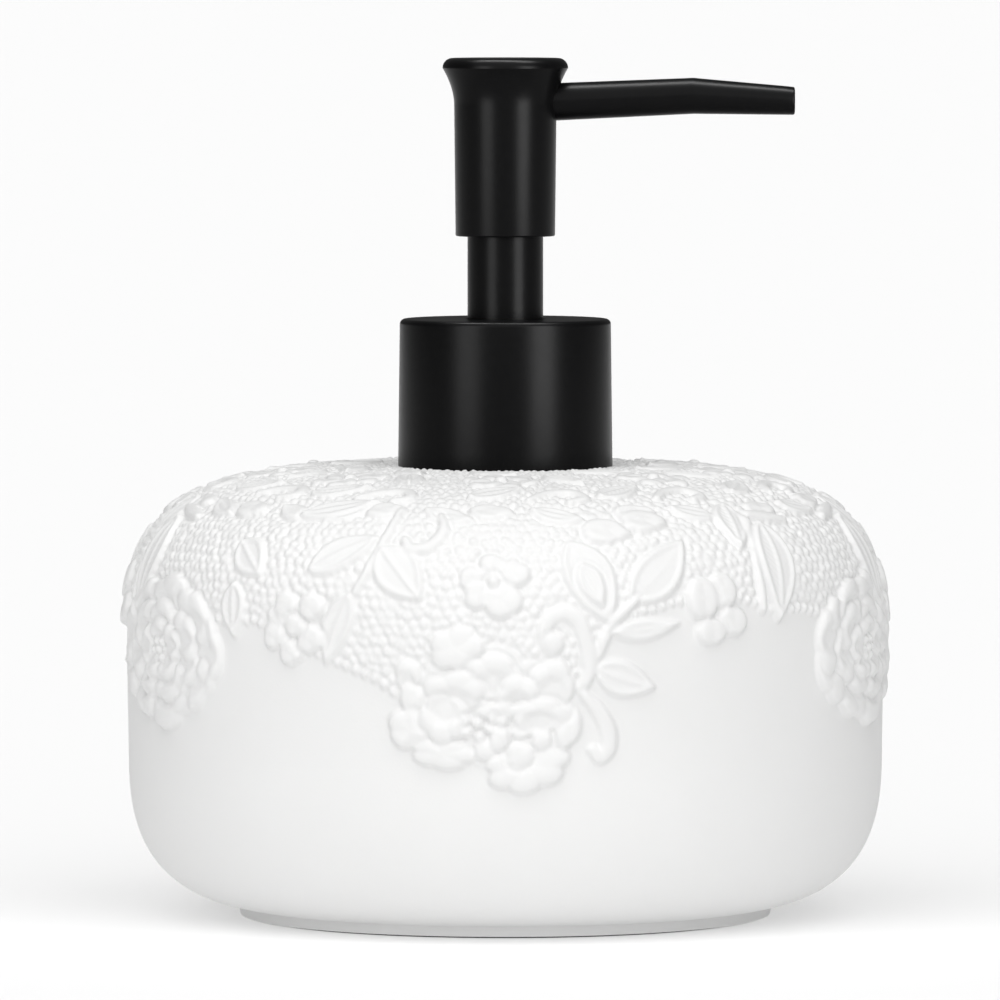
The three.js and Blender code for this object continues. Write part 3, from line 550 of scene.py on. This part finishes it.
def rose(turn):
    """A wide full bloom between the sprays: three oval rings of cupped petals around a seeded heart."""
    down = 59.4
    petal(turn, down, 14.2, 9.6, lobes=10, level=0.3, puff=0.1, cup=0.0)
    rings = (
        (9, 12.4, 7.6, 5.2, 3.3, 0.44),
        (7, 8.4, 4.8, 4.0, 2.7, 0.54),
        (5, 4.4, 2.6, 2.9, 2.1, 0.6),
    )
    draw = np.random.default_rng(ROSE_SEED)
    for ring, (count, reach, fall, wide, high, level) in enumerate(rings):
        for k in range(count):
            angle = 2 * math.pi * (k + 0.37 * ring + draw.uniform(-0.12, 0.12)) / count
            x, y = reach * math.cos(angle), fall * math.sin(angle)
            grow = draw.uniform(0.88, 1.16)
            radius = wall.at(down + y)[0]
            petal(
                turn + math.degrees(x / radius), down + y, wide * grow, high * grow,
                lean=math.degrees(math.atan2(y * 1.8, x)) + 90, lobes=4,
                level=level, puff=0.42, cup=0.42, tilt=0.12 * math.sin(angle), sink=-0.4 * math.sin(angle),
            )
    for k in range(7):
        angle = 2 * math.pi * k / 6
        x, y = (1.5 * math.cos(angle), 1.2 * math.sin(angle)) if k < 6 else (0.0, 0.0)
        berry(turn + math.degrees(x / wall.at(down)[0]), down + y, 0.72, level=0.66, puff=0.28)


def crown():
    """Leaves, scrolls and blossoms on the top, in rings that grow wider outwards from the collar."""
    draw = np.random.default_rng(CROWN_SEED)
    for k in range(10):
        turn = 36.0 * k + draw.uniform(-5, 5)
        leaf((turn - 9, 8.5), (turn + 9, 14.5), 2.4, hatch=0.05 * (k % 2))
    for k in range(9):
        turn = 40.0 * k + draw.uniform(-4, 4)
        blossom(turn, 20.5 + draw.uniform(-1, 1), 5.2)
        leaf((turn + 13, 15.5), (turn + 20, 24.0), 2.3, hatch=0.06)
    for k in range(12):
        turn = 30.0 * k + draw.uniform(-3, 3)
        leaf((turn - 10, 30.5), (turn + 2, 26.0), 2.4, hatch=0.05)
        cord([(turn + 2, 31.5), (turn + 6, 29), (turn + 11, 28.4), (turn + 13, 31), (turn + 10, 32.2)],
             [0.7, 1.0, 1.1, 1.0, 0.8])
    for k in range(15):
        turn = 24.0 * k + draw.uniform(-3, 3)
        petal(turn, 35.6 + draw.uniform(-0.8, 0.8), 3.2, 1.9, lobes=3, level=0.42, puff=0.3, cup=0.14)
        leaf((turn + 7, 34.4), (turn + 17, 37.4), 1.9, bend=0.3)


def edging():
    """A fine beaded hem along the net's lower edge."""
    edge = net_edge()
    for turn in np.arange(0.0, 360.0, 1.5):
        down = float(np.interp(turn, relief.turn, edge, period=360.0))
        berry(turn, down - 0.1, 0.66, level=0.26, puff=0.24)


def soften(height):
    """Rounds the relief as a thick glaze does."""
    wide = 0.25 * np.roll(height, 1, 1) + 0.5 * height + 0.25 * np.roll(height, -1, 1)
    up = np.vstack([wide[:1], wide[:-1]])
    low = np.vstack([wide[1:], wide[-1:]])
    return 0.25 * up + 0.5 * wide + 0.25 * low


net()
edging()
crown()
for centre in ROSE_TURNS:
    rose(centre)
for centre, hand in SPRAYS:
    spray(centre, hand)
lace = RELIEF_DEPTH * soften(relief.height)
lace *= smooth((LACE_END - relief.down) / 2.0)[:, None]


def lace_surface():
    """Points and outward normals of the whole relief surface, rows by columns, in mm."""
    radial, up = wall.facing(relief.down)
    radius, level = wall.at(relief.down)
    angle = np.radians(relief.turn)
    out = radius[:, None] + lace * radial[:, None]
    points = np.stack([
        out * np.sin(angle)[None, :],
        -out * np.cos(angle)[None, :],
        level[:, None] + lace * up[:, None],
    ], axis=-1)
    across = np.roll(points, -1, 1) - np.roll(points, 1, 1)
    down = np.empty_like(points)
    down[1:-1] = points[2:] - points[:-2]
    down[0], down[-1] = points[1] - points[0], points[-1] - points[-2]
    normals = np.cross(down, across)
    normals /= np.linalg.norm(normals, axis=-1, keepdims=True)
    normals[-1] = np.stack([
        radial[-1] * np.sin(angle),
        -radial[-1] * np.cos(angle),
        np.full_like(angle, up[-1]),
    ], axis=-1)
    return points, normals


def mesh_object(name, points, faces, normals=None):
    """A mesh piece from points in mm, smooth shaded, with its own normals if they are given."""
    mesh = bpy.data.meshes.new(name)
    mesh.from_pydata((np.asarray(points, float) * MM).tolist(), [], faces)
    mesh.polygons.foreach_set("use_smooth", [True] * len(mesh.polygons))
    mesh.update()
    if normals is not None:
        mesh.normals_split_custom_set_from_vertices(np.asarray(normals).tolist())
    piece = bpy.data.objects.new(name, mesh)
    bpy.context.scene.collection.objects.link(piece)
    return piece


class Socket:
    """A value in a node tree: arithmetic on it adds Math nodes."""

    def __init__(self, tree, link):
        self.tree = tree
        self.link = link

    def math(self, operation, *others):
        made = self.tree.nodes.new("ShaderNodeMath")
        made.operation = operation
        for socket, value in zip(made.inputs, (self, *others)):
            feed(self.tree, socket, value)
        return Socket(self.tree, made.outputs[0])

    def __add__(self, other):
        return self.math("ADD", other)

    def __mul__(self, other):
        return self.math("MULTIPLY", other)

    def __sub__(self, other):
        return self.math("SUBTRACT", other)

    def __rsub__(self, other):
        return (self * -1.0) + other

    __radd__ = __add__
    __rmul__ = __mul__


def feed(tree, socket, value):
    if isinstance(value, Socket):
        tree.links.new(value.link, socket)
    else:
        socket.default_value = value


class Graph:
    """A node tree under construction; node() adds any node that is not arithmetic."""

    def __init__(self, tree):
        self.tree = tree

    def node(self, kind, output, settings=(), **values):
        made = self.tree.nodes.new(kind)
        for key, value in dict(settings).items():
            setattr(made, key, value)
        for key, value in values.items():
            feed(self.tree, self.in_use(made.inputs, key.replace("_", " ")), value)
        return Socket(self.tree, self.in_use(made.outputs, output))

    def in_use(self, sockets, name):
        """The socket of that name that the node's settings leave in use."""
        return next(socket for socket in sockets if socket.name == name and socket.enabled)


class Finish(Graph):
    """A material under construction, with its Principled shader."""

    def __init__(self, name, color, roughness, **fixed):
        self.material = bpy.data.materials.new(name)
        self.material.use_nodes = True
        super().__init__(self.material.node_tree)
        self.shader = self.tree.nodes["Principled BSDF"]
        self.set("Base Color", (*color, 1.0))
        self.set("Roughness", roughness)
        for key, value in fixed.items():
            self.set(key.replace("_", " "), value)

    def set(self, name, value):
        feed(self.tree, self.shader.inputs[name], value)

    def noise(self, scale, detail=2.0):
        place = self.node("ShaderNodeTexCoord", "Object")
        return self.node("ShaderNodeTexNoise", "Fac", Vector=place, Scale=scale, Detail=detail)

    def shade(self, factor, dark, light):
        """Base colour between two colours by a factor."""
        ends = {"A": (*dark, 1.0), "B": (*light, 1.0)}
        mixed = self.node("ShaderNodeMix", "Result", {"data_type": "RGBA"}, Factor=factor, **ends)
        self.set("Base Color", mixed)

    def bump(self, height, distance, strength=1.0):
        bumped = self.node("ShaderNodeBump", "Normal", Height=height, Distance=distance, Strength=strength)
        self.set("Normal", bumped)


def matte_glaze():
    finish = Finish("matte_white_glaze", (0.80, 0.80, 0.795), 0.55, Specular_IOR_Level=0.35)
    clouds = finish.noise(38.0, 3.0)
    grain = finish.noise(2600.0, 2.0)
    finish.shade(clouds, (0.785, 0.785, 0.78), (0.815, 0.815, 0.812))
    finish.set("Roughness", clouds * 0.1 + 0.5)
    finish.bump(grain + clouds * 0.6, 0.00004, 0.35)
    return finish.material


glaze = matte_glaze()


def lace_tile(index, points, normals):
    """One fifth of the relief as a closed tile, with a plain back on the body."""
    width = relief.columns // TILES
    columns = (np.arange(index * width, (index + 1) * width + 1)) % relief.columns
    front = points[:, columns]
    rows, cols = front.shape[:2]
    faces = []
    for i in range(rows - 1):
        row = i * cols
        faces += [(row + j, row + cols + j, row + cols + j + 1, row + j + 1) for j in range(cols - 1)]
    # The back has every row but few columns; its top and bottom are closed by fans.
    picks = np.linspace(0, cols - 1, TILE_BACK_STEPS + 1).round().astype(int)
    radius, level = wall.at(relief.down)
    radial, up = wall.facing(relief.down)
    angle = np.radians(relief.turn[columns])[picks]
    inner = radius - TILE_DEPTH * radial
    back = np.stack([
        inner[:, None] * np.sin(angle)[None, :],
        -inner[:, None] * np.cos(angle)[None, :],
        np.broadcast_to((level - TILE_DEPTH * up)[:, None], (rows, len(angle))),
    ], axis=-1)
    start = rows * cols
    wide = len(picks)
    for i in range(rows - 1):
        a, b = start + i * wide, start + (i + 1) * wide
        faces += [(a + j, a + j + 1, b + j + 1, b + j) for j in range(wide - 1)]
        faces.append((i * cols, a, b, (i + 1) * cols))
        faces.append((i * cols + cols - 1, (i + 1) * cols + cols - 1, b + wide - 1, a + wide - 1))
    for j in range(wide - 1):
        first, last = picks[j], picks[j + 1]
        top = [start + j] + list(range(first, last + 1)) + [start + j + 1]
        faces.append(tuple(top))
        end = (rows - 1) * cols
        low = [start + (rows - 1) * wide + j + 1] + list(range(end + last, end + first - 1, -1))
        low.append(start + (rows - 1) * wide + j)
        faces.append(tuple(low))
    all_points = np.concatenate([front.reshape(-1, 3), back.reshape(-1, 3)])
    back_normals = -normals[:, columns][:, picks].reshape(-1, 3)
    all_normals = np.concatenate([normals[:, columns].reshape(-1, 3), back_normals])
    tile = mesh_object(f"bottle_lace_{index + 1}", all_points, faces, all_normals)
    tile.data.materials.append(glaze)
    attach(tile, "bottle_body")
    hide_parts("bottle")


SHARP_EDGE = 32.0


def turned(name, outline, body, material, segments, node, sharp=SHARP_EDGE):
    """A turned piece from an outline of (radius, height) in mm that runs up its outside."""
    outline = np.array(outline, float)
    on_axis = outline[:, 0] < 1e-6
    closed = not on_axis[0]
    angle = 2 * np.pi * np.arange(segments) / segments
    points, rings = [], []
    for (radius, level), pole in zip(outline, on_axis):
        rings.append((len(points), pole))
        if pole:
            points.append((0.0, 0.0, level))
        else:
            points += [(radius * math.cos(a), radius * math.sin(a), level) for a in angle]
    faces = []
    pairs = list(zip(rings, rings[1:])) + ([(rings[-1], rings[0])] if closed else [])
    for (a, a_pole), (b, b_pole) in pairs:
        for j in range(segments):
            k = (j + 1) % segments
            if a_pole and b_pole:
                continue
            if a_pole:
                faces.append((a, b + k, b + j))
            elif b_pole:
                faces.append((a + j, a + k, b))
            else:
                faces.append((a + j, a + k, b + k, b + j))
    piece = mesh_object(name, points, faces)
    piece.data.set_sharp_from_angle(angle=math.radians(sharp))
    piece.data.materials.append(material)
    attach(piece, body)
    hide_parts(node)
    return piece


def plain_body():
    """Body below the lace, foot ring, floor, mouth and hollow; under the tiles it is a step thinner."""
    end = wall.length[-1] - 0.02
    lower = np.linspace(end, LACE_END, 60)
    radius, level = wall.at(lower)
    keep = radius > FOOT_RADIUS
    outside = np.stack([radius, level], axis=1)[keep]
    upper = np.linspace(LACE_END, LACE_TOP, 70)
    radius, level = wall.at(upper)
    radial, up = wall.facing(upper)
    under = np.stack([radius - TILE_DEPTH * radial, level - TILE_DEPTH * up], axis=1)
    inner = np.linspace(HOLLOW_START, end, 80)
    radius, level = wall.at(inner)
    radial, up = wall.facing(inner)
    hollow = np.stack([radius - WALL * radial, level - WALL * up], axis=1)
    floor = BASE["bottom"] + WALL
    boss = TOP - MOUTH_LENGTH
    foot = [(0, RECESS), (FOOT_INSIDE - 0.3, RECESS), (FOOT_INSIDE - 0.05, RECESS - 0.1)]
    foot += [(FOOT_INSIDE, FOOT + 0.25), (FOOT_INSIDE + 0.25, FOOT)]
    foot += [(FOOT_RADIUS - 0.45, FOOT), (FOOT_RADIUS - 0.12, FOOT + 0.12), (FOOT_RADIUS, FOOT + 0.45)]
    foot += [(FOOT_RADIUS, outside[0][1] - 0.25), (FOOT_RADIUS + 0.1, outside[0][1] - 0.05)]
    mouth = [(MOUTH_RADIUS + 0.3, TOP - TILE_DEPTH), (MOUTH_RADIUS, TOP - TILE_DEPTH - 0.3)]
    mouth += [(MOUTH_RADIUS, boss + 0.4), (MOUTH_RADIUS + 0.4, boss)]
    mouth += [(hollow[0][0] - 0.6, boss), (hollow[0][0], boss + 0.6)]
    outline = foot + [tuple(p) for p in outside] + [tuple(p) for p in under] + mouth
    outline += [tuple(p) for p in hollow] + [(0, floor)]
    turned("bottle_plain", outline, "bottle_body", glaze, 256, "bottle", 40.0)


surface_points, surface_normals = lace_surface()
for tile_index in range(TILES):
    lace_tile(tile_index, surface_points, surface_normals)
plain_body()

# ---- Base pad --------------------------------------------------------------------------------------
# A die-cut disc of closed-cell foam, glued into the recess inside the foot ring. Its near-black colour is
# painted shadow: the thin edge that shows below the foot ring draws the contact shadow line under the foot.


def foam():
    # Near-black base colour: painted shadow along the pad's edge under the foot ring.
    finish = Finish("dark_foam", (0.03, 0.03, 0.03), 0.95, Specular_IOR_Level=0.2)
    place = finish.node("ShaderNodeTexCoord", "Object")
    cells = finish.node("ShaderNodeTexVoronoi", "Distance", Vector=place, Scale=1500.0)
    finish.shade(cells, (0.018, 0.018, 0.018), (0.05, 0.05, 0.05))
    finish.bump(cells, 0.0002, 0.6)
    return finish.material


pad_radius, _, pad_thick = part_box("base_pad")[1] / MM
pad_outline = [(0, 0), (pad_radius - 0.3, 0), (pad_radius, 0.3), (pad_radius, pad_thick - 0.1)]
pad_outline += [(pad_radius - 0.1, pad_thick), (0, pad_thick)]
turned("foam_pad", pad_outline, "bottle_body", foam(), 160, "base_pad")

# ---- Collar, sleeve and head -----------------------------------------------------------------------
# Turned and deep-drawn covers in satin black lacquer: a cup over the screw cap, a tube over the stem,
# and a trumpet-shaped head. Edges are rolled small, and faces show the lacquer's fine orange peel.


def satin_black():
    finish = Finish("satin_black_lacquer", (0.0015, 0.0015, 0.0016), 0.3, Specular_IOR_Level=0.06)
    peel = finish.noise(900.0, 3.0)
    fine = finish.noise(5200.0, 2.0)
    finish.shade(peel, (0.0012, 0.0012, 0.0013), (0.0018, 0.0018, 0.0019))
    finish.set("Roughness", peel * 0.06 + fine * 0.05 + 0.25)
    finish.bump(peel + fine * 0.5, 0.00003, 0.3)
    return finish.material


lacquer = satin_black()


def rounding(radius, level, round_off, start, end, steps=8):
    """Points of a rounded edge about (radius, level), between two angles in degrees."""
    turns = np.radians(np.linspace(start, end, steps + 1))
    return [(radius + round_off * math.cos(t), level + round_off * math.sin(t)) for t in turns]


def edges_of(node):
    low, high = (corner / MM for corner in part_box(node))
    return low.z, high.z, high.y


COLLAR_WALL = 0.8
COLLAR_DRAFT = 0.25
COLLAR_ROUND = 0.8
COLLAR_PLATE = 0.9
COLLAR_HEM = 0.22
HOLE_GAP = 0.3
HOLE_ROUND = 0.18
SLEEVE_WALL = 0.7
SLEEVE_EDGE = 0.15


def collar_shell():
    low, high, radius = edges_of("collar_shell")
    hole = edges_of("neck_sleeve")[2] + HOLE_GAP
    top = radius - COLLAR_DRAFT
    under = high - COLLAR_PLATE
    outline = [(radius - COLLAR_WALL, low + 0.1), (radius - COLLAR_WALL + 0.12, low)]
    outline += rounding(radius - COLLAR_HEM, low + COLLAR_HEM, COLLAR_HEM, -90, 0, 5)
    outline += rounding(top - COLLAR_ROUND, high - COLLAR_ROUND, COLLAR_ROUND, 0, 90, 10)
    outline += rounding(hole + HOLE_ROUND, high - HOLE_ROUND, HOLE_ROUND, 90, 180, 5)
    outline += [(hole, under), (top - COLLAR_WALL - 0.4, under), (top - COLLAR_WALL, under - 0.4)]
    cover = turned("collar_cover", outline, "collar_body", lacquer, 192, "collar_shell")
    pump_only.objects.link(cover)


def neck_sleeve():
    low, high, radius = edges_of("neck_sleeve")
    bore = radius - SLEEVE_WALL
    outline = [(bore, low), (radius - SLEEVE_EDGE, low), (radius, low + SLEEVE_EDGE)]
    outline += [(radius, high - SLEEVE_EDGE), (radius - SLEEVE_EDGE, high), (bore, high)]
    tube = turned("sleeve_tube", outline, "head_body", lacquer, 128, "neck_sleeve")
    pump_only.objects.link(tube)


HEAD_WALL = 0.9
HEAD_FLARE = 5.6
HEAD_RIM_ROUND = 1.5
HEAD_FLARE_OUT = 1.74
HEAD_DRAFT = 0.21
HEAD_HEM = 0.25
HEAD_GAP = 0.25
FLARE_CURVE = 1.9
RIM_START = 12


def head_shell():
    low, high, rim = edges_of("head_shell")
    waist = rim - HEAD_FLARE_OUT
    bottom = waist - HEAD_DRAFT
    ring = edges_of("neck_sleeve")[2] + HEAD_GAP
    flare_low = high - HEAD_RIM_ROUND - HEAD_FLARE
    share = np.linspace(0, 1, 22)
    flare = np.stack([waist + HEAD_FLARE_OUT * share**FLARE_CURVE, flare_low + HEAD_FLARE * share], axis=1)
    outline = [(ring + 0.1, low)]
    outline += rounding(bottom - HEAD_HEM, low + HEAD_HEM, HEAD_HEM, -90, 0, 5)
    outline += [tuple(p) for p in flare]
    outline += rounding(rim - HEAD_RIM_ROUND, high - HEAD_RIM_ROUND, HEAD_RIM_ROUND, RIM_START, 90, 12)
    outline += [(2.0, high), (0, high), (0, high - HEAD_WALL)]
    outline += [(rim - HEAD_RIM_ROUND - 0.4, high - HEAD_WALL)]
    outline += [(r - HEAD_WALL, level) for r, level in flare[::-1][1::3]]
    outline += [(bottom - HEAD_WALL, low + 1.2), (ring, low + 1.0), (ring, low + 0.1)]
    cover = turned("head_cover", outline, "head_body", lacquer, 160, "head_shell")
    pump_only.objects.link(cover)


collar_shell()
neck_sleeve()
head_shell()

# ---- Spout -----------------------------------------------------------------------------------------
# A cast tube in the same lacquer, straight up to a slight bend and then tapering down to its mouth.

SPOUT_ROOT = 2.86
SPOUT_BEND = 2.7
SPOUT_TIP = 2.1
SPOUT_BORE = 1.2
BEND_AT = 28.2
BEND_HALF = 0.9
TIP_ROUND = 0.3
TIP_CHAMFER = 0.15
SPOUT_RISE = 1.22
SPOUT_DROP = 0.75
SPOUT_LEVEL = 6.9
AROUND = 48


def spout_line():
    """Axis points (x, z) and radii in mm from the head out, with a short round bend."""
    root = edges_of("head_shell")[1] - SPOUT_LEVEL
    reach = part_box("spout")[1].x / MM
    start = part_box("spout")[0].x / MM
    bend = np.linspace(BEND_AT - BEND_HALF, BEND_AT + BEND_HALF, 7)
    clear = BEND_HALF + 0.3
    inward, outward = np.linspace(start, BEND_AT - clear, 12), np.linspace(BEND_AT + clear, reach, 12)
    xs = np.concatenate([inward, bend, outward])
    before = root + SPOUT_RISE * xs / BEND_AT
    after = root + SPOUT_RISE - SPOUT_DROP * (xs - BEND_AT) / (reach - BEND_AT)
    blend = smooth((xs - BEND_AT + BEND_HALF) / (2 * BEND_HALF))
    level = before * (1 - blend) + after * blend
    radius_in = SPOUT_ROOT + (SPOUT_BEND - SPOUT_ROOT) * xs / BEND_AT
    radius_out = SPOUT_BEND + (SPOUT_TIP - SPOUT_BEND) * (xs - BEND_AT) / (reach - BEND_AT)
    return xs, level, radius_in * (1 - blend) + radius_out * blend


def spout():
    xs, level, radius = spout_line()
    angle = 2 * np.pi * np.arange(AROUND) / AROUND
    rings = []

    def ring(x, z, r):
        rings.append([(x, r * math.sin(a), z + r * math.cos(a)) for a in angle])

    ring(xs[0], level[0], SPOUT_BORE)
    for x, z, r in zip(xs[:-1], level[:-1], radius[:-1]):
        ring(x, z, r)
    for turn in np.radians(np.linspace(0, 90, 5)):
        back, inset = TIP_ROUND * (1 - math.sin(turn)), TIP_ROUND * (1 - math.cos(turn))
        ring(xs[-1] - back, level[-1], radius[-1] - inset)
    ring(xs[-1], level[-1], SPOUT_BORE + TIP_CHAMFER)
    ring(xs[-1] - TIP_CHAMFER, level[-1], SPOUT_BORE)
    for x, z in list(zip(xs, level))[-2:0:-2]:
        ring(x, z, SPOUT_BORE)
    points = [p for one in rings for p in one]
    faces = []
    count = len(rings)
    for i in range(count):
        a, b = i * AROUND, ((i + 1) % count) * AROUND
        for j in range(AROUND):
            k = (j + 1) % AROUND
            faces.append((a + j, b + j, b + k, a + k))
    piece = mesh_object("spout_tube", points, faces)
    piece.data.set_sharp_from_angle(angle=math.radians(SHARP_EDGE))
    piece.data.materials.append(lacquer)
    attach(piece, "head_body")
    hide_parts("spout")
    pump_only.objects.link(piece)


spout()

# ---- Inner parts -----------------------------------------------------------------------------------
# Moulded neck, screw cap, pump engine and inner head: white or natural polypropylene with soft seals,
# a bright steel spring and a glass ball. They show when the cap is unscrewed or the pump is open.


def moulded(name, dark, light, roughness, **fixed):
    finish = Finish(name, light, roughness, **fixed)
    flow = finish.noise(220.0, 3.0)
    finish.shade(flow, dark, light)
    finish.set("Roughness", flow * 0.12 + (roughness - 0.06))
    finish.bump(finish.noise(3000.0), 0.00003, 0.3)
    return finish.material


white_plastic = moulded("white_polypropylene", (0.76, 0.76, 0.74), (0.84, 0.84, 0.82), 0.45)
natural_plastic = moulded(
    "natural_polypropylene", (0.66, 0.69, 0.69), (0.76, 0.79, 0.79), 0.35, Transmission_Weight=0.35,
)
soft_seal = moulded("soft_seal", (0.58, 0.59, 0.56), (0.68, 0.69, 0.66), 0.7)
glass_ball = moulded("glass_ball", (0.7, 0.82, 0.8), (0.8, 0.9, 0.88), 0.08, Transmission_Weight=0.8)
spring_steel = moulded("spring_steel", (0.5, 0.5, 0.52), (0.66, 0.66, 0.68), 0.25, Metallic=1.0)

INNER = {
    "closure": white_plastic, "pump_retainer": white_plastic,
    "piston_stem": white_plastic, "valve_plug": white_plastic, "head_core": white_plastic,
    "pump_housing": natural_plastic, "ball_cage": natural_plastic, "dip_tube": natural_plastic,
    "mouth_seal": soft_seal, "gasket": soft_seal, "piston_seal": soft_seal, "check_ball": glass_ball,
}
for inner_name, inner_material in INNER.items():
    node_mesh = frame["nodes"][inner_name].data
    node_mesh.materials.clear()
    node_mesh.materials.append(inner_material)

# ---- Neck insert -----------------------------------------------------------------------------------
# White moulded neck pushed into the ceramic mouth, with three sealing fins below its flange and one
# round thread ridge above. The ridge is swept along its helix, and the same sweep winds the spring.


class Winding(Graph):
    """A round section wound up the z axis, in metres, with flat closed ends or tapered ones."""

    INPUTS = ("Turns", "Radius", "Rise", "Section", "Closed", "Taper")
    STEPS_PER_TURN = 48.0
    SECTION_CORNERS = 16
    END_SIZE = 0.15
    SHARP = 50.0

    def __init__(self, name, material):
        super().__init__(bpy.data.node_groups.new(name, "GeometryNodeTree"))
        interface = self.tree.interface
        interface.new_socket("Geometry", in_out="OUTPUT", socket_type="NodeSocketGeometry")
        for label in self.INPUTS:
            interface.new_socket(label, in_out="INPUT", socket_type="NodeSocketFloat")
        given = self.tree.nodes.new("NodeGroupInput")
        turns, radius, rise, section, closed, taper = (
            Socket(self.tree, given.outputs[label]) for label in self.INPUTS
        )
        line = self.node("GeometryNodeCurvePrimitiveLine", "Curve")
        line = self.node("GeometryNodeResampleCurve", "Curve", Curve=line, Count=turns * self.STEPS_PER_TURN)
        along = self.node("GeometryNodeSplineParameter", "Factor")
        coil = along * turns
        angle = coil * (2 * math.pi)
        # The end turns rise by less than the others: three clamped ramps, added.
        first = self.ramp(coil, 0.0, 1.0, 0.0, closed)
        last = self.ramp(coil, turns - 1.0, turns, 0.0, closed)
        end_turn = closed.math("GREATER_THAN", 0.0)
        middle = self.ramp(coil, end_turn, turns - end_turn, 0.0, rise - closed * 2.0)
        at = self.node(
            "ShaderNodeCombineXYZ", "Vector",
            X=angle.math("COSINE") * radius, Y=angle.math("SINE") * radius, Z=first + middle + last,
        )
        line = self.node("GeometryNodeSetPosition", "Geometry", Geometry=line, Position=at)
        start = self.ramp(along, 0.0, taper, self.END_SIZE, 1.0)
        ends = start * self.ramp(along, 1.0, 1.0 - taper, self.END_SIZE, 1.0)
        circle = self.node(
            "GeometryNodeCurvePrimitiveCircle", "Curve", Resolution=self.SECTION_CORNERS, Radius=section,
        )
        wire = self.node(
            "GeometryNodeCurveToMesh", "Mesh",
            Curve=line, Profile_Curve=circle, Scale=ends, Fill_Caps=True,
        )
        wire = self.node("GeometryNodeRealizeInstances", "Geometry", Geometry=wire)
        wire = self.node("GeometryNodeSetMaterial", "Geometry", Geometry=wire, Material=material)
        output = self.tree.nodes.new("NodeGroupOutput")
        feed(self.tree, output.inputs["Geometry"], wire)

    def ramp(self, value, start, end, low, high):
        limits = {"From Min": start, "From Max": end, "To Min": low, "To Max": high}
        return self.node("ShaderNodeMapRange", "Result", Value=value, **limits)

    def wind(self, name, **values):
        """The winding as a plain mesh piece."""
        host = bpy.data.objects.new(name + "_host", bpy.data.meshes.new(name + "_host"))
        bpy.context.scene.collection.objects.link(host)
        modifier = host.modifiers.new("winding", "NODES")
        modifier.node_group = self.tree
        for item in self.tree.interface.items_tree:
            if item.in_out == "INPUT":
                modifier[item.identifier] = float(values[item.name])
        graph = bpy.context.evaluated_depsgraph_get()
        mesh = bpy.data.meshes.new_from_object(host.evaluated_get(graph), depsgraph=graph)
        bpy.data.objects.remove(host)
        mesh.polygons.foreach_set("use_smooth", [True] * len(mesh.polygons))
        mesh.set_sharp_from_angle(angle=math.radians(self.SHARP))
        piece = bpy.data.objects.new(name, mesh)
        bpy.context.scene.collection.objects.link(piece)
        return piece


NECK_ROOT = 12.55
NECK_BORE = 10.4
FLANGE = 1.6
PLUG = 10.0
PLUG_RADIUS = 12.3
FIN = 0.45
RIDGE = 1.0
RIDGE_OUT = 0.05
RIDGE_TAPER = 0.06
THREAD_LEAD = 1.0
PITCH = 4.233
THREAD_TURNS = 1.5


def neck_insert():
    low, high, flange = edges_of("neck_insert")
    seat = low + PLUG
    outline = [(NECK_BORE, low + 0.3), (NECK_BORE + 0.3, low)]
    outline += [(PLUG_RADIUS - 0.4, low), (PLUG_RADIUS, low + 0.4)]
    for step in (3, 2, 1):
        level = seat - step * PLUG / 4
        outline += [(PLUG_RADIUS, level - FIN), (PLUG_RADIUS + FIN, level), (PLUG_RADIUS, level + FIN)]
    outline += [(PLUG_RADIUS, seat), (flange - 0.2, seat), (flange, seat + 0.2)]
    outline += [(flange, seat + FLANGE - 0.3), (flange - 0.3, seat + FLANGE)]
    outline += [(NECK_ROOT + 0.3, seat + FLANGE), (NECK_ROOT, seat + FLANGE + 0.3)]
    outline += [(NECK_ROOT, high - 0.4), (NECK_ROOT - 0.4, high)]
    outline += [(NECK_BORE + 0.3, high), (NECK_BORE, high - 0.3)]
    turned("neck_tube", outline, "bottle_body", white_plastic, 128, "neck_insert")
    ridge = Winding("thread_winding", white_plastic).wind(
        "neck_ridge", Turns=THREAD_TURNS, Radius=(NECK_ROOT + RIDGE_OUT) * MM, Rise=PITCH * THREAD_TURNS * MM,
        Section=RIDGE * MM, Closed=0.0, Taper=RIDGE_TAPER,
    )
    start = high - THREAD_LEAD - RIDGE - PITCH * THREAD_TURNS
    ridge.data.transform(Matrix.Translation((0, 0, start * MM)))
    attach(ridge, "bottle_body")
    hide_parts("neck_insert")


neck_insert()

# ---- Return spring ---------------------------------------------------------------------------------
# Cold-wound steel wire with closed ends, standing on the ball cage and pushing the piston up.

WIRE = 0.45
SPRING_COILS = 9
BLUNT = 0.0001


def return_spring():
    low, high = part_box("return_spring")
    tall = high.z - low.z
    wire = WIRE * MM
    coil = Winding("spring_winding", spring_steel).wind(
        "return_coil", Turns=SPRING_COILS, Radius=high.x - wire, Rise=tall - 2 * wire,
        Section=wire, Closed=2 * wire, Taper=BLUNT,
    )
    coil.data.transform(Matrix.Translation((0, 0, low.z + wire)))
    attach(coil, "pump_body")
    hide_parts("return_spring")
    travel = next(joint for joint in frame["joints"] if joint["name"] == "head_press")["range_m"][1]
    (tall - travel) / tall
    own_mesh(coil)


return_spring()
